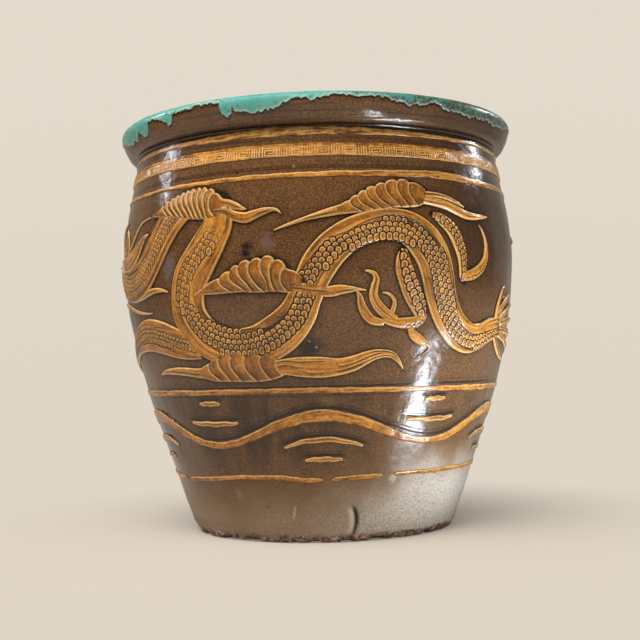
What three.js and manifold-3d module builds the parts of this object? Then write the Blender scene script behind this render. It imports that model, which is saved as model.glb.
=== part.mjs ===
// Century egg jar: a stoneware vat built by hand in sections, with a dragon piled on in clay.
// Lengths are millimetres and angles are degrees. The jar stands on z = 0 round the Z axis.
// Angle 0 is the front of the jar, towards -Y, and angles grow to the right of the front.
import * as THREE from "three";
import { mergeVertices } from "three/addons/utils/BufferGeometryUtils.js";
import Module from "manifold-3d";

const wasm = await Module();
wasm.setup();

// Heights of the sections, from the floor up
const BASE_THICKNESS = 22;
const LOWER_WALL_HEIGHT = 164;
const BELLY_WALL_HEIGHT = 244;
const NECK_WALL_HEIGHT = 50;
const RIM_HEIGHT = 37;

// Radii of the outside, and the height of the widest place
const BASE_RADIUS = 168.5;
const BELLY_RADIUS = 255;
const BELLY_HEIGHT = 345;
const RIM_RADIUS = 255.5;
const RIM_OVERHANG = 19.5;
const RIM_WIDTH = 43.5;

// How the outside curve leaves the foot, passes the belly and reaches the neck
const FOOT_FLARE = 0.33;
const FOOT_REACH = 150;
const BELLY_REACH_DOWN = 110;
const BELLY_REACH_UP = 55;
const NECK_TAPER = 0.16;
const NECK_REACH = 45;

// Clay thicknesses and joints
const WALL_THICKNESS = 14;
const LAP_HEIGHT = 10;
const JOINT_GAP = 0.3;
const PLATEAU_RISE = 6;
const COIL_THICKNESS = 8;
const COIL_HALF_HEIGHT = 13;
const BASE_COIL_SIZE = 24;

// Rim collar and the glaze on its lip
const RIM_OUTER_ROUND = 9;
const RIM_INNER_ROUND = 7;
const RIM_SWELL = 14;
const GLAZE_THICKNESS = 1.2;
const GLAZE_DROP = 17;

// Applied lines: distance of each from the seam or edge it follows, its width and its rise
const NECK_LINE_DROP = 6;
const NECK_LINE_WIDTH = 8.5;
const FRET_DROP = 28;
const FRET_WIDTH = 18;
const SHOULDER_LINE_DROP = 5.5;
const SHOULDER_LINE_WIDTH = 6.5;
const WAIST_LINE_DROP = 7.5;
const WAIST_LINE_WIDTH = 8;
const FOOT_LINE_DROP = 107.5;
const FOOT_LINE_WIDTH = 5;
const LINE_RISE = 2.6;
const FRET_RISE = 2;

// Waves and the ripple strokes between them
const WAVE_COUNT = 5;
const WAVE_DROP = 51;
const WAVE_SWING = 17;
const WAVE_WIDTH = 8.5;
const WAVE_RISE = 3.4;
const RIPPLE_WIDTH = 4.6;
const RIPPLE_RISE = 2.4;
const HIGH_DASH_OVER_VALLEY = 49;
const LOW_DASH_OVER_VALLEY = 25;
const ARC_UNDER_CREST = 28;
const SHORT_DASH_UNDER_CREST = 51;

// Dragon and clouds: rises off the wall, and the gap where one strip meets another
const TORSO_RISE = 6;
const LIMB_RISE = 4.6;
const HAIR_RISE = 3.6;
const CLOUD_RISE = 6.4;
const PEARL_RADIUS = 17;
const STRIP_EDGE = 1.2;
const STRIP_GAP = 0.6;

// Facets round the jar, the step along a strip and how far its surface may be evened out
const FACETS = 48;
const STRIP_STEP = 13;
const STRIP_SMOOTHING = 0.15;

// Heights that follow from the sections
const WAIST = BASE_THICKNESS + LOWER_WALL_HEIGHT;
const SHOULDER = WAIST + BELLY_WALL_HEIGHT;
const NECK_TOP = SHOULDER + NECK_WALL_HEIGHT;
const JAR_HEIGHT = NECK_TOP + RIM_HEIGHT;

// Radii that follow from the rim: the neck under its overhang and the open mouth inside it
const NECK_RADIUS = RIM_RADIUS - RIM_OVERHANG;
const MOUTH_RADIUS = RIM_RADIUS - RIM_WIDTH;

// The frieze was drawn on a belly section 244 high that starts 186 above the floor
const DRAWN_WAIST = 186;
const DRAWN_HEIGHT = 244;
const DRAWN_RADIUS = 248;
const FRIEZE_FIT = BELLY_WALL_HEIGHT / DRAWN_HEIGHT;
const DEGREE = Math.PI / 180;
const MM_PER_DEGREE = DRAWN_RADIUS * DEGREE;

const brownGlaze = new THREE.MeshStandardMaterial({ color: 0x553a23, roughness: 0.3, metalness: 0 });
const amberGlaze = new THREE.MeshStandardMaterial({ color: 0xb07328, roughness: 0.32, metalness: 0 });
const greenGlaze = new THREE.MeshStandardMaterial({ color: 0x50af9b, roughness: 0.25, metalness: 0 });
const bareClay = new THREE.MeshStandardMaterial({ color: 0x8a6a58, roughness: 0.9, metalness: 0 });

const lowerCurve = new THREE.CubicBezierCurve(
  new THREE.Vector2(BASE_RADIUS, 0),
  new THREE.Vector2(BASE_RADIUS + FOOT_FLARE * FOOT_REACH, FOOT_REACH),
  new THREE.Vector2(BELLY_RADIUS, BELLY_HEIGHT - BELLY_REACH_DOWN),
  new THREE.Vector2(BELLY_RADIUS, BELLY_HEIGHT),
);
const upperCurve = new THREE.CubicBezierCurve(
  new THREE.Vector2(BELLY_RADIUS, BELLY_HEIGHT),
  new THREE.Vector2(BELLY_RADIUS, BELLY_HEIGHT + BELLY_REACH_UP),
  new THREE.Vector2(NECK_RADIUS + NECK_TAPER * NECK_REACH, NECK_TOP - NECK_REACH),
  new THREE.Vector2(NECK_RADIUS, NECK_TOP),
);

// Outside radius of the wall at a height
function wallRadius(height) {
  const curve = height < BELLY_HEIGHT ? lowerCurve : upperCurve;
  let low = 0;
  let high = 1;
  for (let pass = 0; pass < 40; pass += 1) {
    const middle = (low + high) / 2;
    if (curve.getPoint(middle).y < height) {
      low = middle;
    } else {
      high = middle;
    }
  }
  return curve.getPoint((low + high) / 2).x;
}

// Point at an angle and height, a given lift off the outside of the wall
function onWall(angle, height, lift) {
  const radius = wallRadius(height) + lift;
  return new THREE.Vector3(
    radius * Math.sin(angle * DEGREE),
    -radius * Math.cos(angle * DEGREE),
    height,
  );
}

// Height on the jar of a height in the drawing of the frieze
function friezeHeight(drawn) {
  return WAIST + (drawn - DRAWN_WAIST) * FRIEZE_FIT;
}

// Surface with shared corners, no collapsed triangles and its faces turned outward
function closeSurface(geometry) {
  geometry.deleteAttribute("normal");
  geometry.deleteAttribute("uv");
  const merged = mergeVertices(geometry, 0.0005);
  const corners = merged.getIndex().array;
  const places = merged.getAttribute("position");
  const kept = [];
  let volume = 0;
  const first = new THREE.Vector3();
  const second = new THREE.Vector3();
  const third = new THREE.Vector3();
  for (let start = 0; start < corners.length; start += 3) {
    const [one, two, three] = [corners[start], corners[start + 1], corners[start + 2]];
    if (one !== two && two !== three && three !== one) {
      kept.push([one, two, three]);
      first.fromBufferAttribute(places, one);
      second.fromBufferAttribute(places, two);
      third.fromBufferAttribute(places, three);
      volume += first.dot(second.cross(third));
    }
  }
  const outward = kept.map(([one, two, three]) => (volume > 0 ? [one, two, three] : [one, three, two]));
  merged.setIndex(outward.flat());
  return merged;
}

// Ring or disc turned from a profile of radius and height pairs
function turn(profile) {
  const points = profile.map(([radius, height]) => new THREE.Vector2(radius, height));
  const turned = new THREE.LatheGeometry(points, FACETS);
  turned.rotateX(Math.PI / 2);
  return closeSurface(turned);
}

// Ring turned from an outline that closes on its first point
function turnRing(outline) {
  return turn([...outline, outline[0]]);
}

// Points down or up the wall, inset from its outside
function wallLine(from, to, steps, inset) {
  const line = [];
  for (let step = 0; step <= steps; step += 1) {
    const height = from + ((to - from) * step) / steps;
    line.push([wallRadius(height) - inset, height]);
  }
  return line;
}

// Middle radius of the lap joint at a seam
function lapRadius(seam) {
  return wallRadius(seam) - WALL_THICKNESS / 2;
}

// Inner tongue that stands up from the top of a section
function tongue(seam) {
  const radius = lapRadius(seam) - JOINT_GAP / 2;
  return [[radius, seam], [radius, seam + LAP_HEIGHT]];
}

// Outer skirt at the foot of a section, which hangs round the tongue below it
function skirt(seam) {
  const radius = lapRadius(seam) + JOINT_GAP / 2;
  return [[radius, seam + LAP_HEIGHT + JOINT_GAP], [radius, seam + JOINT_GAP]];
}

// Inside of each wall section: the heights where it ends and its steps
const lowerInside = { bottom: BASE_THICKNESS + JOINT_GAP, top: WAIST + LAP_HEIGHT, steps: 4 };
const bellyInside = { bottom: WAIST + LAP_HEIGHT + JOINT_GAP, top: SHOULDER + LAP_HEIGHT, steps: 6 };
const neckInside = { bottom: SHOULDER + LAP_HEIGHT + JOINT_GAP, top: NECK_TOP + LAP_HEIGHT, steps: 2 };

function insideLine({ bottom, top, steps }) {
  return wallLine(top, bottom, steps, WALL_THICKNESS);
}

// Radius of the inside of a wall section at a height, on the facet between two of its steps
function insideRadius(height, inside) {
  const line = insideLine(inside);
  const next = line.findIndex(([, step]) => step <= height);
  const [high, low] = [line[Math.max(next - 1, 0)], line[Math.max(next, 1)]];
  return low[0] + ((high[0] - low[0]) * (height - low[1])) / (high[1] - low[1]);
}

// Wall section between two seams
function wallSection(bottom, top, outerSteps, inside) {
  return turnRing([
    ...wallLine(bottom + JOINT_GAP, top, outerSteps, 0),
    ...tongue(top),
    ...insideLine(inside),
    ...skirt(bottom),
  ]);
}

function makeBaseSlab() {
  const plateauRadius = wallRadius(BASE_THICKNESS) - WALL_THICKNESS - JOINT_GAP;
  return turn([
    [0, 0],
    [BASE_RADIUS, 0],
    [wallRadius(BASE_THICKNESS), BASE_THICKNESS],
    [plateauRadius, BASE_THICKNESS],
    [plateauRadius, BASE_THICKNESS + PLATEAU_RISE],
    [0, BASE_THICKNESS + PLATEAU_RISE],
  ]);
}

function makeLowerWall() {
  return turnRing([
    ...wallLine(BASE_THICKNESS + JOINT_GAP, WAIST, 5, 0),
    ...tongue(WAIST),
    ...insideLine(lowerInside),
  ]);
}

function makeBaseCoil() {
  const floor = BASE_THICKNESS + PLATEAU_RISE + JOINT_GAP;
  const inset = WALL_THICKNESS + JOINT_GAP;
  const corner = wallRadius(floor) - inset;
  const top = floor + BASE_COIL_SIZE;
  return turnRing([
    [corner, floor],
    [corner - BASE_COIL_SIZE, floor],
    [corner - BASE_COIL_SIZE * 0.3, floor + BASE_COIL_SIZE * 0.4],
    [wallRadius(top) - inset, top],
  ]);
}

// Coil smeared over the seam between two wall sections
function makeSeamCoil(below, above) {
  const middle = below.top;
  const low = middle - COIL_HALF_HEIGHT;
  const high = middle + COIL_HALF_HEIGHT;
  const seam = insideRadius(middle, below) - JOINT_GAP;
  return turnRing([
    [insideRadius(low, below) - JOINT_GAP, low],
    [seam, middle],
    [insideRadius(high, above) - JOINT_GAP, high],
    [seam - COIL_THICKNESS, middle + COIL_HALF_HEIGHT / 3],
    [seam - COIL_THICKNESS, middle - COIL_HALF_HEIGHT / 3],
  ]);
}

// Outer face, lip and bore of the rim collar, from the neck up and over
function rimOutline() {
  const face = new THREE.CubicBezierCurve(
    new THREE.Vector2(NECK_RADIUS, NECK_TOP + JOINT_GAP),
    new THREE.Vector2(NECK_RADIUS + RIM_SWELL, NECK_TOP + RIM_SWELL / 2),
    new THREE.Vector2(RIM_RADIUS, JAR_HEIGHT - RIM_OUTER_ROUND - RIM_SWELL),
    new THREE.Vector2(RIM_RADIUS, JAR_HEIGHT - RIM_OUTER_ROUND),
  );
  const outline = face.getPoints(4).map((point) => [point.x, point.y]);
  const crown = JAR_HEIGHT - JOINT_GAP - GLAZE_THICKNESS;
  for (const share of [0.5, 1]) {
    const bend = (share * Math.PI) / 2;
    outline.push([
      RIM_RADIUS - RIM_OUTER_ROUND * (1 - Math.cos(bend)),
      JAR_HEIGHT - RIM_OUTER_ROUND + (crown - JAR_HEIGHT + RIM_OUTER_ROUND) * Math.sin(bend),
    ]);
  }
  outline.push([MOUTH_RADIUS + RIM_INNER_ROUND, crown]);
  outline.push([MOUTH_RADIUS + RIM_INNER_ROUND * 0.3, crown - RIM_INNER_ROUND * 0.3]);
  outline.push([MOUTH_RADIUS, crown - RIM_INNER_ROUND]);
  return outline;
}

function makeRimCollar() {
  return turnRing([
    ...rimOutline(),
    [MOUTH_RADIUS, NECK_TOP + LAP_HEIGHT + JOINT_GAP],
    ...skirt(NECK_TOP),
  ]);
}

// Line moved square to itself by a distance, away from the clay it covers
function offsetLine(line, distance) {
  const last = line.length - 1;
  const squareTo = (place) => {
    const [start, end] = [line[place], line[place + 1]];
    return new THREE.Vector2(end[1] - start[1], start[0] - end[0]).normalize();
  };
  return line.map(([radius, height], place) => {
    const before = squareTo(Math.max(place - 1, 0));
    const after = squareTo(Math.min(place, last - 1));
    const between = before.clone().add(after).normalize();
    const reach = distance / between.dot(after);
    return [radius + between.x * reach, height + between.y * reach];
  });
}

function makeLipGlaze() {
  const covered = rimOutline().filter(([, height]) => height > JAR_HEIGHT - GLAZE_DROP);
  const under = offsetLine(covered, JOINT_GAP);
  const over = offsetLine(covered, JOINT_GAP + GLAZE_THICKNESS);
  return turnRing([...over, ...under.reverse()]);
}

// Flat-backed strip of clay running round the wall at one height
function makeBand(height, width, rise) {
  const low = height - width / 2;
  const high = height + width / 2;
  return turnRing([
    [wallRadius(low) + JOINT_GAP, low],
    [wallRadius(low + width * 0.3) + JOINT_GAP + rise, low + width * 0.3],
    [wallRadius(high - width * 0.3) + JOINT_GAP + rise, high - width * 0.3],
    [wallRadius(high) + JOINT_GAP, high],
  ]);
}

// Strip of clay on the wall. Each station holds its angle, height and half width. The top is domed
// from the edge to the rise, and the strip may be grown in width or close into a ring.
function layStrip(stations, { across, rise, edge = Math.min(STRIP_EDGE, rise / 2), lift = JOINT_GAP,
  grown = 0, ring = false }) {
  const columns = across + 1;
  const rows = stations.length;
  const points = [];
  const middle = new THREE.Vector2();
  for (let row = 0; row < rows; row += 1) {
    const before = stations[ring ? (row + rows - 1) % rows : Math.max(row - 1, 0)];
    const after = stations[ring ? (row + 1) % rows : Math.min(row + 1, rows - 1)];
    let turned = after[0] - before[0];
    if (ring && turned < 0) {
      turned += 360;
    }
    middle.set(turned * MM_PER_DEGREE, after[1] - before[1]).normalize();
    const [angle, height, half] = stations[row];
    for (let column = 0; column < columns; column += 1) {
      const side = -1 + (2 * column) / across;
      const reach = side * (half + grown);
      const placeAngle = angle - (middle.y * reach) / MM_PER_DEGREE;
      const placeHeight = height + middle.x * reach;
      const dome = edge + (rise - edge) * (1 - side * side);
      points.push(onWall(placeAngle, placeHeight, lift + dome));
      points.push(onWall(placeAngle, placeHeight, lift));
    }
  }
  const top = (row, column) => 2 * ((row % rows) * columns + column);
  const back = (row, column) => top(row, column) + 1;
  const index = [];
  const quad = (one, two, three, four) => index.push(one, two, three, one, three, four);
  const spans = ring ? rows : rows - 1;
  for (let row = 0; row < spans; row += 1) {
    for (let column = 0; column < across; column += 1) {
      quad(top(row, column), top(row + 1, column), top(row + 1, column + 1), top(row, column + 1));
      quad(back(row, column), back(row, column + 1), back(row + 1, column + 1), back(row + 1, column));
    }
    quad(top(row, 0), back(row, 0), back(row + 1, 0), top(row + 1, 0));
    quad(top(row, across), top(row + 1, across), back(row + 1, across), back(row, across));
  }
  for (let column = 0; column < across && !ring; column += 1) {
    quad(top(0, column), top(0, column + 1), back(0, column + 1), back(0, column));
    quad(top(spans, column), back(spans, column), back(spans, column + 1), top(spans, column + 1));
  }
  const geometry = new THREE.BufferGeometry().setFromPoints(points);
  geometry.setIndex(index);
  return closeSurface(geometry);
}

// Stations along a smooth line through drawn knots of angle, height and half width
function drawStations(knots) {
  const line = new THREE.CatmullRomCurve3(
    knots.map(([angle, height, half]) => new THREE.Vector3(angle * MM_PER_DEGREE, height, half)),
    false,
    "centripetal",
  );
  const steps = Math.max(4, Math.round(line.getLength() / STRIP_STEP));
  return line.getSpacedPoints(steps).map((point) => [
    point.x / MM_PER_DEGREE,
    friezeHeight(point.y),
    point.z * FRIEZE_FIT,
  ]);
}

function toSolid(geometry) {
  const mesh = new wasm.Mesh({
    numProp: 3,
    vertProperties: new Float32Array(geometry.getAttribute("position").array),
    triVerts: new Uint32Array(geometry.getIndex().array),
  });
  return new wasm.Manifold(mesh);
}

// Largest body of a solid as a surface: slivers left by a cut are trimmed off
function toSurface(solid) {
  const bodies = solid.decompose();
  bodies.sort((one, two) => two.volume() - one.volume());
  const mesh = bodies[0].simplify(STRIP_SMOOTHING).getMesh();
  const geometry = new THREE.BufferGeometry();
  geometry.setAttribute("position", new THREE.BufferAttribute(new Float32Array(mesh.vertProperties), 3));
  geometry.setIndex(new THREE.BufferAttribute(new Uint32Array(mesh.triVerts), 1));
  return closeSurface(geometry);
}

// Strips pressed together into one solid
function pressTogether(strips, rise) {
  const solids = strips.map(({ knots, across, scale }) =>
    toSolid(layStrip(drawStations(knots), { across, rise: rise * scale })));
  return wasm.Manifold.union(solids);
}

// Stations with both ends drawn out by a distance
function lengthen(stations, extra) {
  const drawnOut = stations.map((station) => [...station]);
  const last = stations.length - 1;
  for (const [end, next] of [[0, 1], [last, last - 1]]) {
    const run = (stations[end][0] - stations[next][0]) * MM_PER_DEGREE;
    const climb = stations[end][1] - stations[next][1];
    const length = Math.hypot(run, climb);
    drawnOut[end][0] += (extra * run) / length / MM_PER_DEGREE;
    drawnOut[end][1] += (extra * climb) / length;
  }
  return drawnOut;
}

// Room that a strip needs when another strip is trimmed to lie beside it: from inside the wall to well
// above the strip
function stripRoom(stations, across) {
  const tall = 3 * CLOUD_RISE;
  const drawnOut = lengthen(stations, STRIP_GAP);
  return toSolid(layStrip(drawnOut, { across, rise: tall, edge: tall, lift: -CLOUD_RISE, grown: STRIP_GAP }));
}

// Room that strips pressed together need
function roomFor(strips) {
  return wasm.Manifold.union(strips.map(({ knots, across }) => stripRoom(drawStations(knots), across)));
}

const wide = (knots) => ({ knots, across: 4, scale: 1 });
const narrow = (knots) => ({ knots, across: 2, scale: 1 });
const thin = (knots) => ({ knots, across: 2, scale: 0.8 });

// Drawing of the frieze: knots of angle, height and half width along the middle of each strip
const neckStrips = [
  wide([[-38, 398, 19], [-42.5, 384, 20], [-46.5, 366, 20.5], [-50, 347, 20.5], [-53.5, 330, 19.5],
    [-58, 320, 17], [-64, 317, 14], [-71, 320, 12.5], [-78, 326, 12]]),
];
const coilStrips = [
  wide([[-27, 392, 19], [-26.5, 374, 19], [-28.7, 355, 21], [-32.3, 333, 23.5], [-35.8, 312, 25],
    [-37.3, 290, 25], [-36.8, 268, 25], [-33.5, 248, 24], [-28.5, 236, 23], [-23, 231, 22.5],
    [-17, 233, 23], [-12, 242, 24], [-8.3, 254, 23], [-5.6, 268, 21], [-3.9, 284, 19], [-3.4, 289, 19]]),
];
const archStrips = [
  wide([[-3, 293, 19], [-2.2, 301, 19], [0, 320, 20], [3.5, 339, 19.5], [8, 353.5, 18.5],
    [13, 362, 18], [18, 365, 18.5], [23.5, 361, 20], [28, 349, 21.5], [31, 331, 20.5],
    [32.8, 310, 19.5], [34.2, 288, 19], [36.2, 266, 18.5], [40, 248, 18], [45, 237, 18.5],
    [50, 238, 16.5], [55, 245, 15.2], [60.5, 250, 13.8]]),
];
const tuftStrips = [
  narrow([[59.5, 258, 5], [59.5, 272, 4], [60.5, 285, 3.2], [62, 296, 2.2], [64.3, 302, 0.9]]),
  narrow([[59.5, 256, 6], [62, 272, 5.5], [65, 282, 4.5], [68.5, 289.5, 3.2], [73, 293, 1]]),
  narrow([[59.5, 254, 6], [66, 267, 5], [71, 275.5, 4], [76, 280, 2.6], [81, 281, 1]]),
  narrow([[59.5, 252, 6], [68, 258, 5.5], [75, 261, 4.5], [82, 261, 3], [88, 259, 1]]),
  narrow([[59.5, 249, 6], [68, 248, 5.5], [75, 246, 4.5], [82, 241, 3], [88, 235, 1]]),
  narrow([[59.5, 246, 6], [67, 239.5, 5], [74, 232, 4], [80, 225, 2.6], [85, 218, 1]]),
  narrow([[59.5, 244, 5.5], [62.5, 231, 4.8], [66, 221.5, 4], [70, 214.5, 3], [75, 210.5, 1]]),
];
const hindLegStrips = [
  wide([[21.5, 342, 8], [21.5, 328, 9.5], [22, 312, 10.5], [23.3, 298, 10.5], [24.8, 285, 10],
    [26, 273, 9.5], [26.5, 262, 8.5], [26.5, 255, 6]]),
  narrow([[28.3, 258, 6.5], [25, 255.5, 7.5], [21, 256, 7], [17, 259.5, 6.5], [13.5, 262.5, 5]]),
  narrow([[14, 261, 5], [11.4, 269, 5], [11, 278, 4.6], [10.8, 285, 3.6], [9.6, 290.5, 1.4]]),
  narrow([[19, 262, 5], [16.2, 270, 5.2], [14.8, 280, 5], [14.4, 290, 4.6], [14.6, 299, 3.8],
    [13.8, 307, 2.6], [11.4, 314, 0.9]]),
  thin([[19, 261, 4], [19.3, 270, 3.6], [19.6, 277, 3.2], [18.8, 284, 2.4], [16.6, 288.5, 0.9]]),
  narrow([[25, 254, 5.5], [25, 246, 6], [26.8, 240, 6.2], [28.6, 233.5, 4.6], [30, 227, 2.6],
    [29.4, 221, 1.8], [26.6, 216, 0.8]]),
];
const foreLegStrips = [
  wide([[31, 378.5, 3], [33.8, 373, 7], [37, 363, 8.8], [39.3, 348, 9], [40.8, 333, 8.2],
    [41.2, 320, 7], [41.2, 309, 6], [41.8, 303, 4]]),
  narrow([[40.8, 307, 4], [42.5, 308.5, 6], [46, 312.5, 7], [49, 320, 6.6], [51, 331, 5.2],
    [51.4, 343, 3.6], [51, 355, 2.5], [49.8, 365, 1.6], [48.6, 371, 0.7]]),
];
const farLegStrips = [
  wide([[-40, 235, 16], [-44.5, 240, 19], [-50, 246.5, 20.5], [-57, 250.5, 20], [-64, 247, 17],
    [-71, 237.5, 12], [-77, 228, 9.5], [-83, 222.5, 8], [-87, 222, 5]]),
  narrow([[-84, 225, 5], [-91, 231, 4.4], [-97, 238, 3.2], [-101, 247, 1]]),
  narrow([[-84, 222, 5], [-93, 220.5, 4.2], [-101, 216, 3], [-107, 209, 1]]),
  narrow([[-82, 219, 5], [-87, 209, 3.8], [-93, 202.5, 2.6], [-99, 200, 1]]),
];
const maneStrips = [
  wide([[-78, 347, 5], [-72, 344.5, 9], [-66, 346.5, 9.5], [-61.5, 352, 9], [-58.5, 361, 7],
    [-56.3, 368.5, 4], [-53.6, 372.5, 0.9]]),
];
const whiskerStrips = [
  thin([[-77, 361, 2.6], [-72, 358.5, 2.6], [-68, 358.5, 2.4], [-65.5, 362.5, 2.3], [-63, 370.5, 2.2],
    [-60.5, 380, 2.1], [-58, 387.5, 1.8], [-54.8, 391, 1.4], [-52.6, 392, 0.9]]),
];
const shoulderLockStrips = [
  narrow([[-78, 305, 5], [-71, 302, 6], [-64, 297.5, 5.5], [-58, 298, 4.6], [-52, 302.5, 4],
    [-47.5, 302.5, 2.6], [-44.4, 299.5, 0.9]]),
];
const beardStrips = [
  thin([[-79, 293.5, 3], [-73, 290, 3.2], [-67, 284, 3], [-62, 279.5, 2.4], [-57, 277, 1.7],
    [-53, 276.5, 0.9]]),
];
const headStrips = [
  wide([[-79.5, 328, 11], [-84, 334, 17], [-90, 341, 21], [-97, 344, 19], [-104, 343, 14.5],
    [-110, 343, 11.5], [-115, 347, 8.5], [-118, 353, 3]]),
  wide([[-90, 330, 8], [-97, 322, 8], [-104, 317, 7], [-110, 317.5, 5], [-114, 322, 2]]),
  narrow([[-88, 352, 7], [-86, 368, 5.4], [-82, 380, 4.4], [-77, 389, 3], [-71, 395, 1]]),
  narrow([[-93, 354, 6.5], [-95.5, 372, 5], [-94.5, 384, 3.4], [-91, 393, 1]]),
  thin([[-112, 337, 4], [-119, 329, 3], [-126, 327, 2.6], [-131.5, 333, 2.2], [-134, 343, 1.7],
    [-133, 354, 0.8]]),
];
const cloudOneStrips = [
  wide([[-51, 391.5, 1.2], [-48, 394, 5], [-46, 396.5, 8.5], [-42, 398.5, 12.5], [-38, 399.2, 16.5],
    [-34, 399.2, 19], [-30, 397, 18.5], [-27.5, 393.5, 15], [-25.2, 391.5, 8]]),
  narrow([[-28, 402, 5], [-24.5, 399.5, 5], [-21, 394.5, 4], [-18.7, 386.8, 1]]),
  narrow([[-28, 387, 6], [-25, 386, 6], [-21.5, 379.5, 6], [-18.5, 377.5, 6], [-15.5, 381, 5.6],
    [-12.8, 385, 3.8], [-10.8, 383, 2.8], [-9, 377.5, 1]]),
];
const cloudTwoStrips = [
  wide([[-34.5, 292.5, 1.2], [-32, 296, 4], [-30, 299, 6.5], [-26, 303, 10.5], [-22.5, 307.3, 14.8],
    [-19, 310.8, 18.6], [-16, 311.5, 19.6], [-13.5, 311.5, 19.6], [-10, 306.8, 16.6], [-8, 302.5, 13],
    [-5.5, 300, 10], [-4, 299, 6]]),
  narrow([[-8, 299, 7], [-5, 296, 7], [-2, 293.5, 6], [2.5, 291.5, 6], [6, 292, 4.4], [8, 292.5, 1.4]]),
];
const cloudThreeStrips = [
  wide([[4.6, 382, 4], [6.5, 382.5, 6.5], [8.3, 385, 8.5], [11.5, 389.8, 12], [14.5, 394.5, 14.5],
    [16.5, 396.5, 15.5], [20, 400.2, 16.8], [23.5, 401.2, 17], [27, 400, 14], [29.5, 399.5, 8]]),
  narrow([[-11.3, 360.5, 0.9], [-8, 365.5, 1.8], [-4, 371, 2.5], [0, 375.8, 4], [4, 380, 5.5],
    [7, 382.5, 6]]),
  narrow([[28, 401, 4.5], [32, 401.5, 3.6], [36, 399.5, 3.2], [39.5, 395.3, 2.5], [43, 389.5, 1.2]]),
  narrow([[28, 395, 5], [32, 393, 5.4], [36, 390, 5.6], [40, 384.8, 6], [43, 381, 5.5],
    [46.5, 380, 4.5], [50, 381, 3], [54, 382.3, 1]]),
];
const cloudFourStrips = [
  wide([[-36.5, 203, 5], [-34, 204, 9], [-31.5, 205.5, 13], [-28, 208, 15.5], [-24, 208, 16],
    [-20, 207.5, 16], [-16, 208, 16], [-13, 207, 13], [-10.5, 206.5, 9]]),
  narrow([[-55.3, 202.5, 1], [-52, 205.5, 3], [-47, 206.3, 4.8], [-42, 205.3, 5.5], [-38, 203.5, 6],
    [-34, 203, 7]]),
  wide([[-14, 206, 9], [-10, 208, 9.5], [-6, 207.5, 11.5], [0, 206.5, 12], [5, 206.8, 9.8], [9, 210.5, 9],
    [12, 215.5, 7.6], [15, 219.5, 6], [18, 220.2, 4.6], [20.3, 217, 3.8], [22, 210, 2.6], [23.3, 202, 1]]),
];
const cloudFiveStrips = [
  wide([[92, 376, 4], [96, 379, 9], [101, 383, 14], [107, 387, 17], [113, 388, 17.5], [119, 386, 15],
    [123, 384, 9]]),
  narrow([[76, 358, 1], [81, 364, 2.6], [86, 370, 4], [91, 375, 5.5], [95, 378, 6]]),
  narrow([[121, 384, 6], [128, 382, 6], [135, 376, 5.6], [141, 376, 4], [147, 382, 1]]),
];
const cloudSixStrips = [
  wide([[104, 222, 4], [108, 224, 9], [113, 228, 14], [119, 232, 17], [126, 233, 17.5], [132, 230, 15],
    [136, 226, 9]]),
  narrow([[88, 203, 1], [93, 210, 2.6], [98, 215, 4], [103, 220, 5.5], [107, 223, 6]]),
  narrow([[134, 226, 6], [141, 222, 6.5], [149, 214, 6], [157, 213, 4.4], [164, 220, 1]]),
];
const pearlPlace = { angle: -149, height: 330 };
const byPearl = (knots) => knots.map(([turned, climbed, half]) =>
  [pearlPlace.angle + turned, pearlPlace.height + climbed, half]);
const flameStrips = [
  wide(byPearl([[4, 14, 5], [-1, 17, 6], [-6, 11, 5]])),
  narrow(byPearl([[3, 12, 5], [6, 24, 5], [5, 36, 3.8], [1, 48, 1]])),
  narrow(byPearl([[-2, 14, 5], [-3, 28, 4.6], [-7, 39, 3.4], [-13, 46, 1]])),
  narrow(byPearl([[-5, 4, 5], [-11, 8, 4.4], [-18, 6, 3.2], [-24, -2, 1]])),
];

const jar = new THREE.Group();
jar.name = "century_egg_jar";

function place(name, geometry, material) {
  geometry.computeVertexNormals();
  const mesh = new THREE.Mesh(geometry, material);
  mesh.name = name;
  jar.add(mesh);
}

place("base_slab", makeBaseSlab(), bareClay);
place("base_coil", makeBaseCoil(), bareClay);
place("lower_wall", makeLowerWall(), brownGlaze);
place("waist_coil", makeSeamCoil(lowerInside, bellyInside), bareClay);
place("belly_wall", wallSection(WAIST, SHOULDER, 9, bellyInside), brownGlaze);
place("shoulder_coil", makeSeamCoil(bellyInside, neckInside), bareClay);
place("neck_wall", wallSection(SHOULDER, NECK_TOP, 3, neckInside), brownGlaze);
place("rim_collar", makeRimCollar(), brownGlaze);
place("lip_glaze", makeLipGlaze(), greenGlaze);

place("neck_line", makeBand(NECK_TOP - NECK_LINE_DROP, NECK_LINE_WIDTH, LINE_RISE), amberGlaze);
place("fret_band", makeBand(NECK_TOP - FRET_DROP, FRET_WIDTH, FRET_RISE), amberGlaze);
place("shoulder_line", makeBand(SHOULDER - SHOULDER_LINE_DROP, SHOULDER_LINE_WIDTH, LINE_RISE), amberGlaze);
place("waist_line", makeBand(WAIST - WAIST_LINE_DROP, WAIST_LINE_WIDTH, LINE_RISE), amberGlaze);

// Wave line: a ring that swings up and down five times, with a crest at the front
const WAVE_PITCH = 360 / WAVE_COUNT;
function waveHeight(angle) {
  return WAIST - WAVE_DROP + WAVE_SWING * Math.cos(angle * WAVE_COUNT * DEGREE);
}
const waveStations = [];
for (let angle = 0; angle < 360; angle += 5) {
  waveStations.push([angle, waveHeight(angle), WAVE_WIDTH / 2]);
}
place("wave_line", layStrip(waveStations, { across: 2, rise: WAVE_RISE, ring: true }), amberGlaze);

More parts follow.
